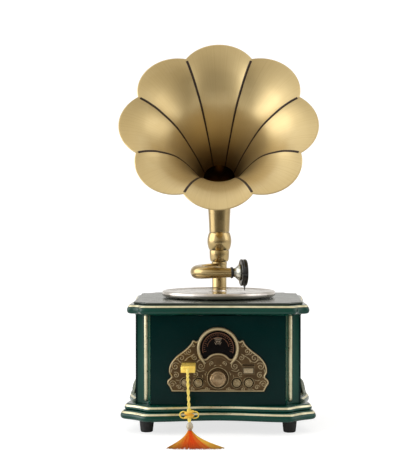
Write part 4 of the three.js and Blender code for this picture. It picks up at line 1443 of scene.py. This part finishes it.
# ---- floor, lights and world
def floor_look():
    """White for the camera; in reflections the floor far ahead is darker, painted shade for light falling
    off.
    """
    look = Look("pale_floor", (240, 240, 240), roughness=0.8)
    look.drift(3, 4, 0.4, 0.7, 0.4, (236, 236, 236))
    rays = look.node("ShaderNodeLightPath")
    split = look.node("ShaderNodeSeparateXYZ")
    look.link(look.place, split.inputs["Vector"])
    # Painted shade: reflections see the floor grow dark from 0.6 m to 1.4 m ahead.
    ahead = look.remap(split.outputs["Y"], -0.6, -1.4)
    painted_far_shade = look.math("MULTIPLY", ahead, rays.outputs["Is Glossy Ray"])
    look.tint(painted_far_shade, (60, 58, 52))
    look.shader.inputs["Emission Color"].default_value = (1, 1, 1, 1)
    look.tint(rays.outputs["Is Camera Ray"], (160, 160, 160))
    glow = look.remap(rays.outputs["Is Camera Ray"], 0, 1, 0, 0.74)
    look.link(glow, look.shader.inputs["Emission Strength"])
    return look.material


# Brightness of the surroundings: what each direction adds, as (axis, from, to, strength, power)
SKY_BASE = 0.28
SKY_WARM = (1.0, 0.87, 0.66, 1)
SKY_GLOWS = [
    ("X", 0.2, -1.0, 1.4, 2.0), ("X", 0.4, 1.0, 0.7, 1.0),
    ("Y", 0.0, 1.0, 0.9, 1.0), ("Z", 0.05, 1.0, 0.4, 0.5),
]


def add_world():
    world = bpy.data.worlds.new("studio")
    bpy.context.scene.world = world
    world.use_nodes = True
    sky = Nodes(world.node_tree)
    background = world.node_tree.nodes["Background"]
    split = sky.node("ShaderNodeSeparateXYZ")
    sky.link(sky.node("ShaderNodeTexCoord").outputs["Generated"], split.inputs["Vector"])
    total = SKY_BASE
    for axis, start, end, strength, power in SKY_GLOWS:
        shaped = sky.math("POWER", sky.remap(split.outputs[axis], start, end), power)
        total = sky.math("ADD", sky.math("MULTIPLY", shaped, strength), total)
    rays = sky.node("ShaderNodeLightPath")
    seen = sky.node("ShaderNodeMix")
    sky.link(rays.outputs["Is Camera Ray"], seen.inputs["Factor"])
    sky.link(total, seen.inputs["A"])
    seen.inputs["B"].default_value = 1.0
    sky.link(seen.outputs["Result"], background.inputs["Strength"])
    # The dim parts of the surroundings are warm, the bright ones white
    color = sky.node("ShaderNodeMix", data_type="RGBA")
    sky.link(sky.remap(seen.outputs["Result"], SKY_BASE, 1), color.inputs["Factor"])
    color.inputs["A"].default_value = SKY_WARM
    color.inputs["B"].default_value = (1, 1, 1, 1)
    sky.link(color.outputs["Result"], background.inputs["Color"])


def add_studio():
    """A pale floor that rises behind the object, and soft lights."""
    profile = [(-4.0, 0.0), (1.6, 0.0)]
    for k in range(1, 13):
        a = k / 12 * math.pi / 2
        profile.append((1.6 + 1.2 * math.sin(a), 1.2 * (1 - math.cos(a))))
    profile.append((2.8, 4.5))
    points = [(x, y, z) for y, z in profile for x in (-5.0, 5.0)]
    faces = [[2 * k, 2 * k + 1, 2 * k + 3, 2 * k + 2] for k in range(len(profile) - 1)]
    mesh = smooth_mesh("floor", points, faces, floor_look())
    add_object("floor", mesh)

    add_world()
    for name, place, size, power in (
        ("key", (-2.1, -0.3, 0.8), (2.4, 2.0), 24),
        ("fill", (1.8, -0.4, 1.1), (1.2, 1.6), 6),
        ("top", (0.0, -0.2, 2.4), (2.4, 1.6), 5),
    ):
        light = add_object(name, bpy.data.lights.new(name, "AREA"))
        light.data.shape = "RECTANGLE"
        light.data.size, light.data.size_y = size
        light.data.energy = power
        light.location = place
        aim = Vector((0, 0, 0.2)) - light.location
        light.rotation_euler = aim.to_track_quat("-Z", "Y").to_euler()
    bpy.context.scene.view_settings.view_transform = "Standard"


add_studio()
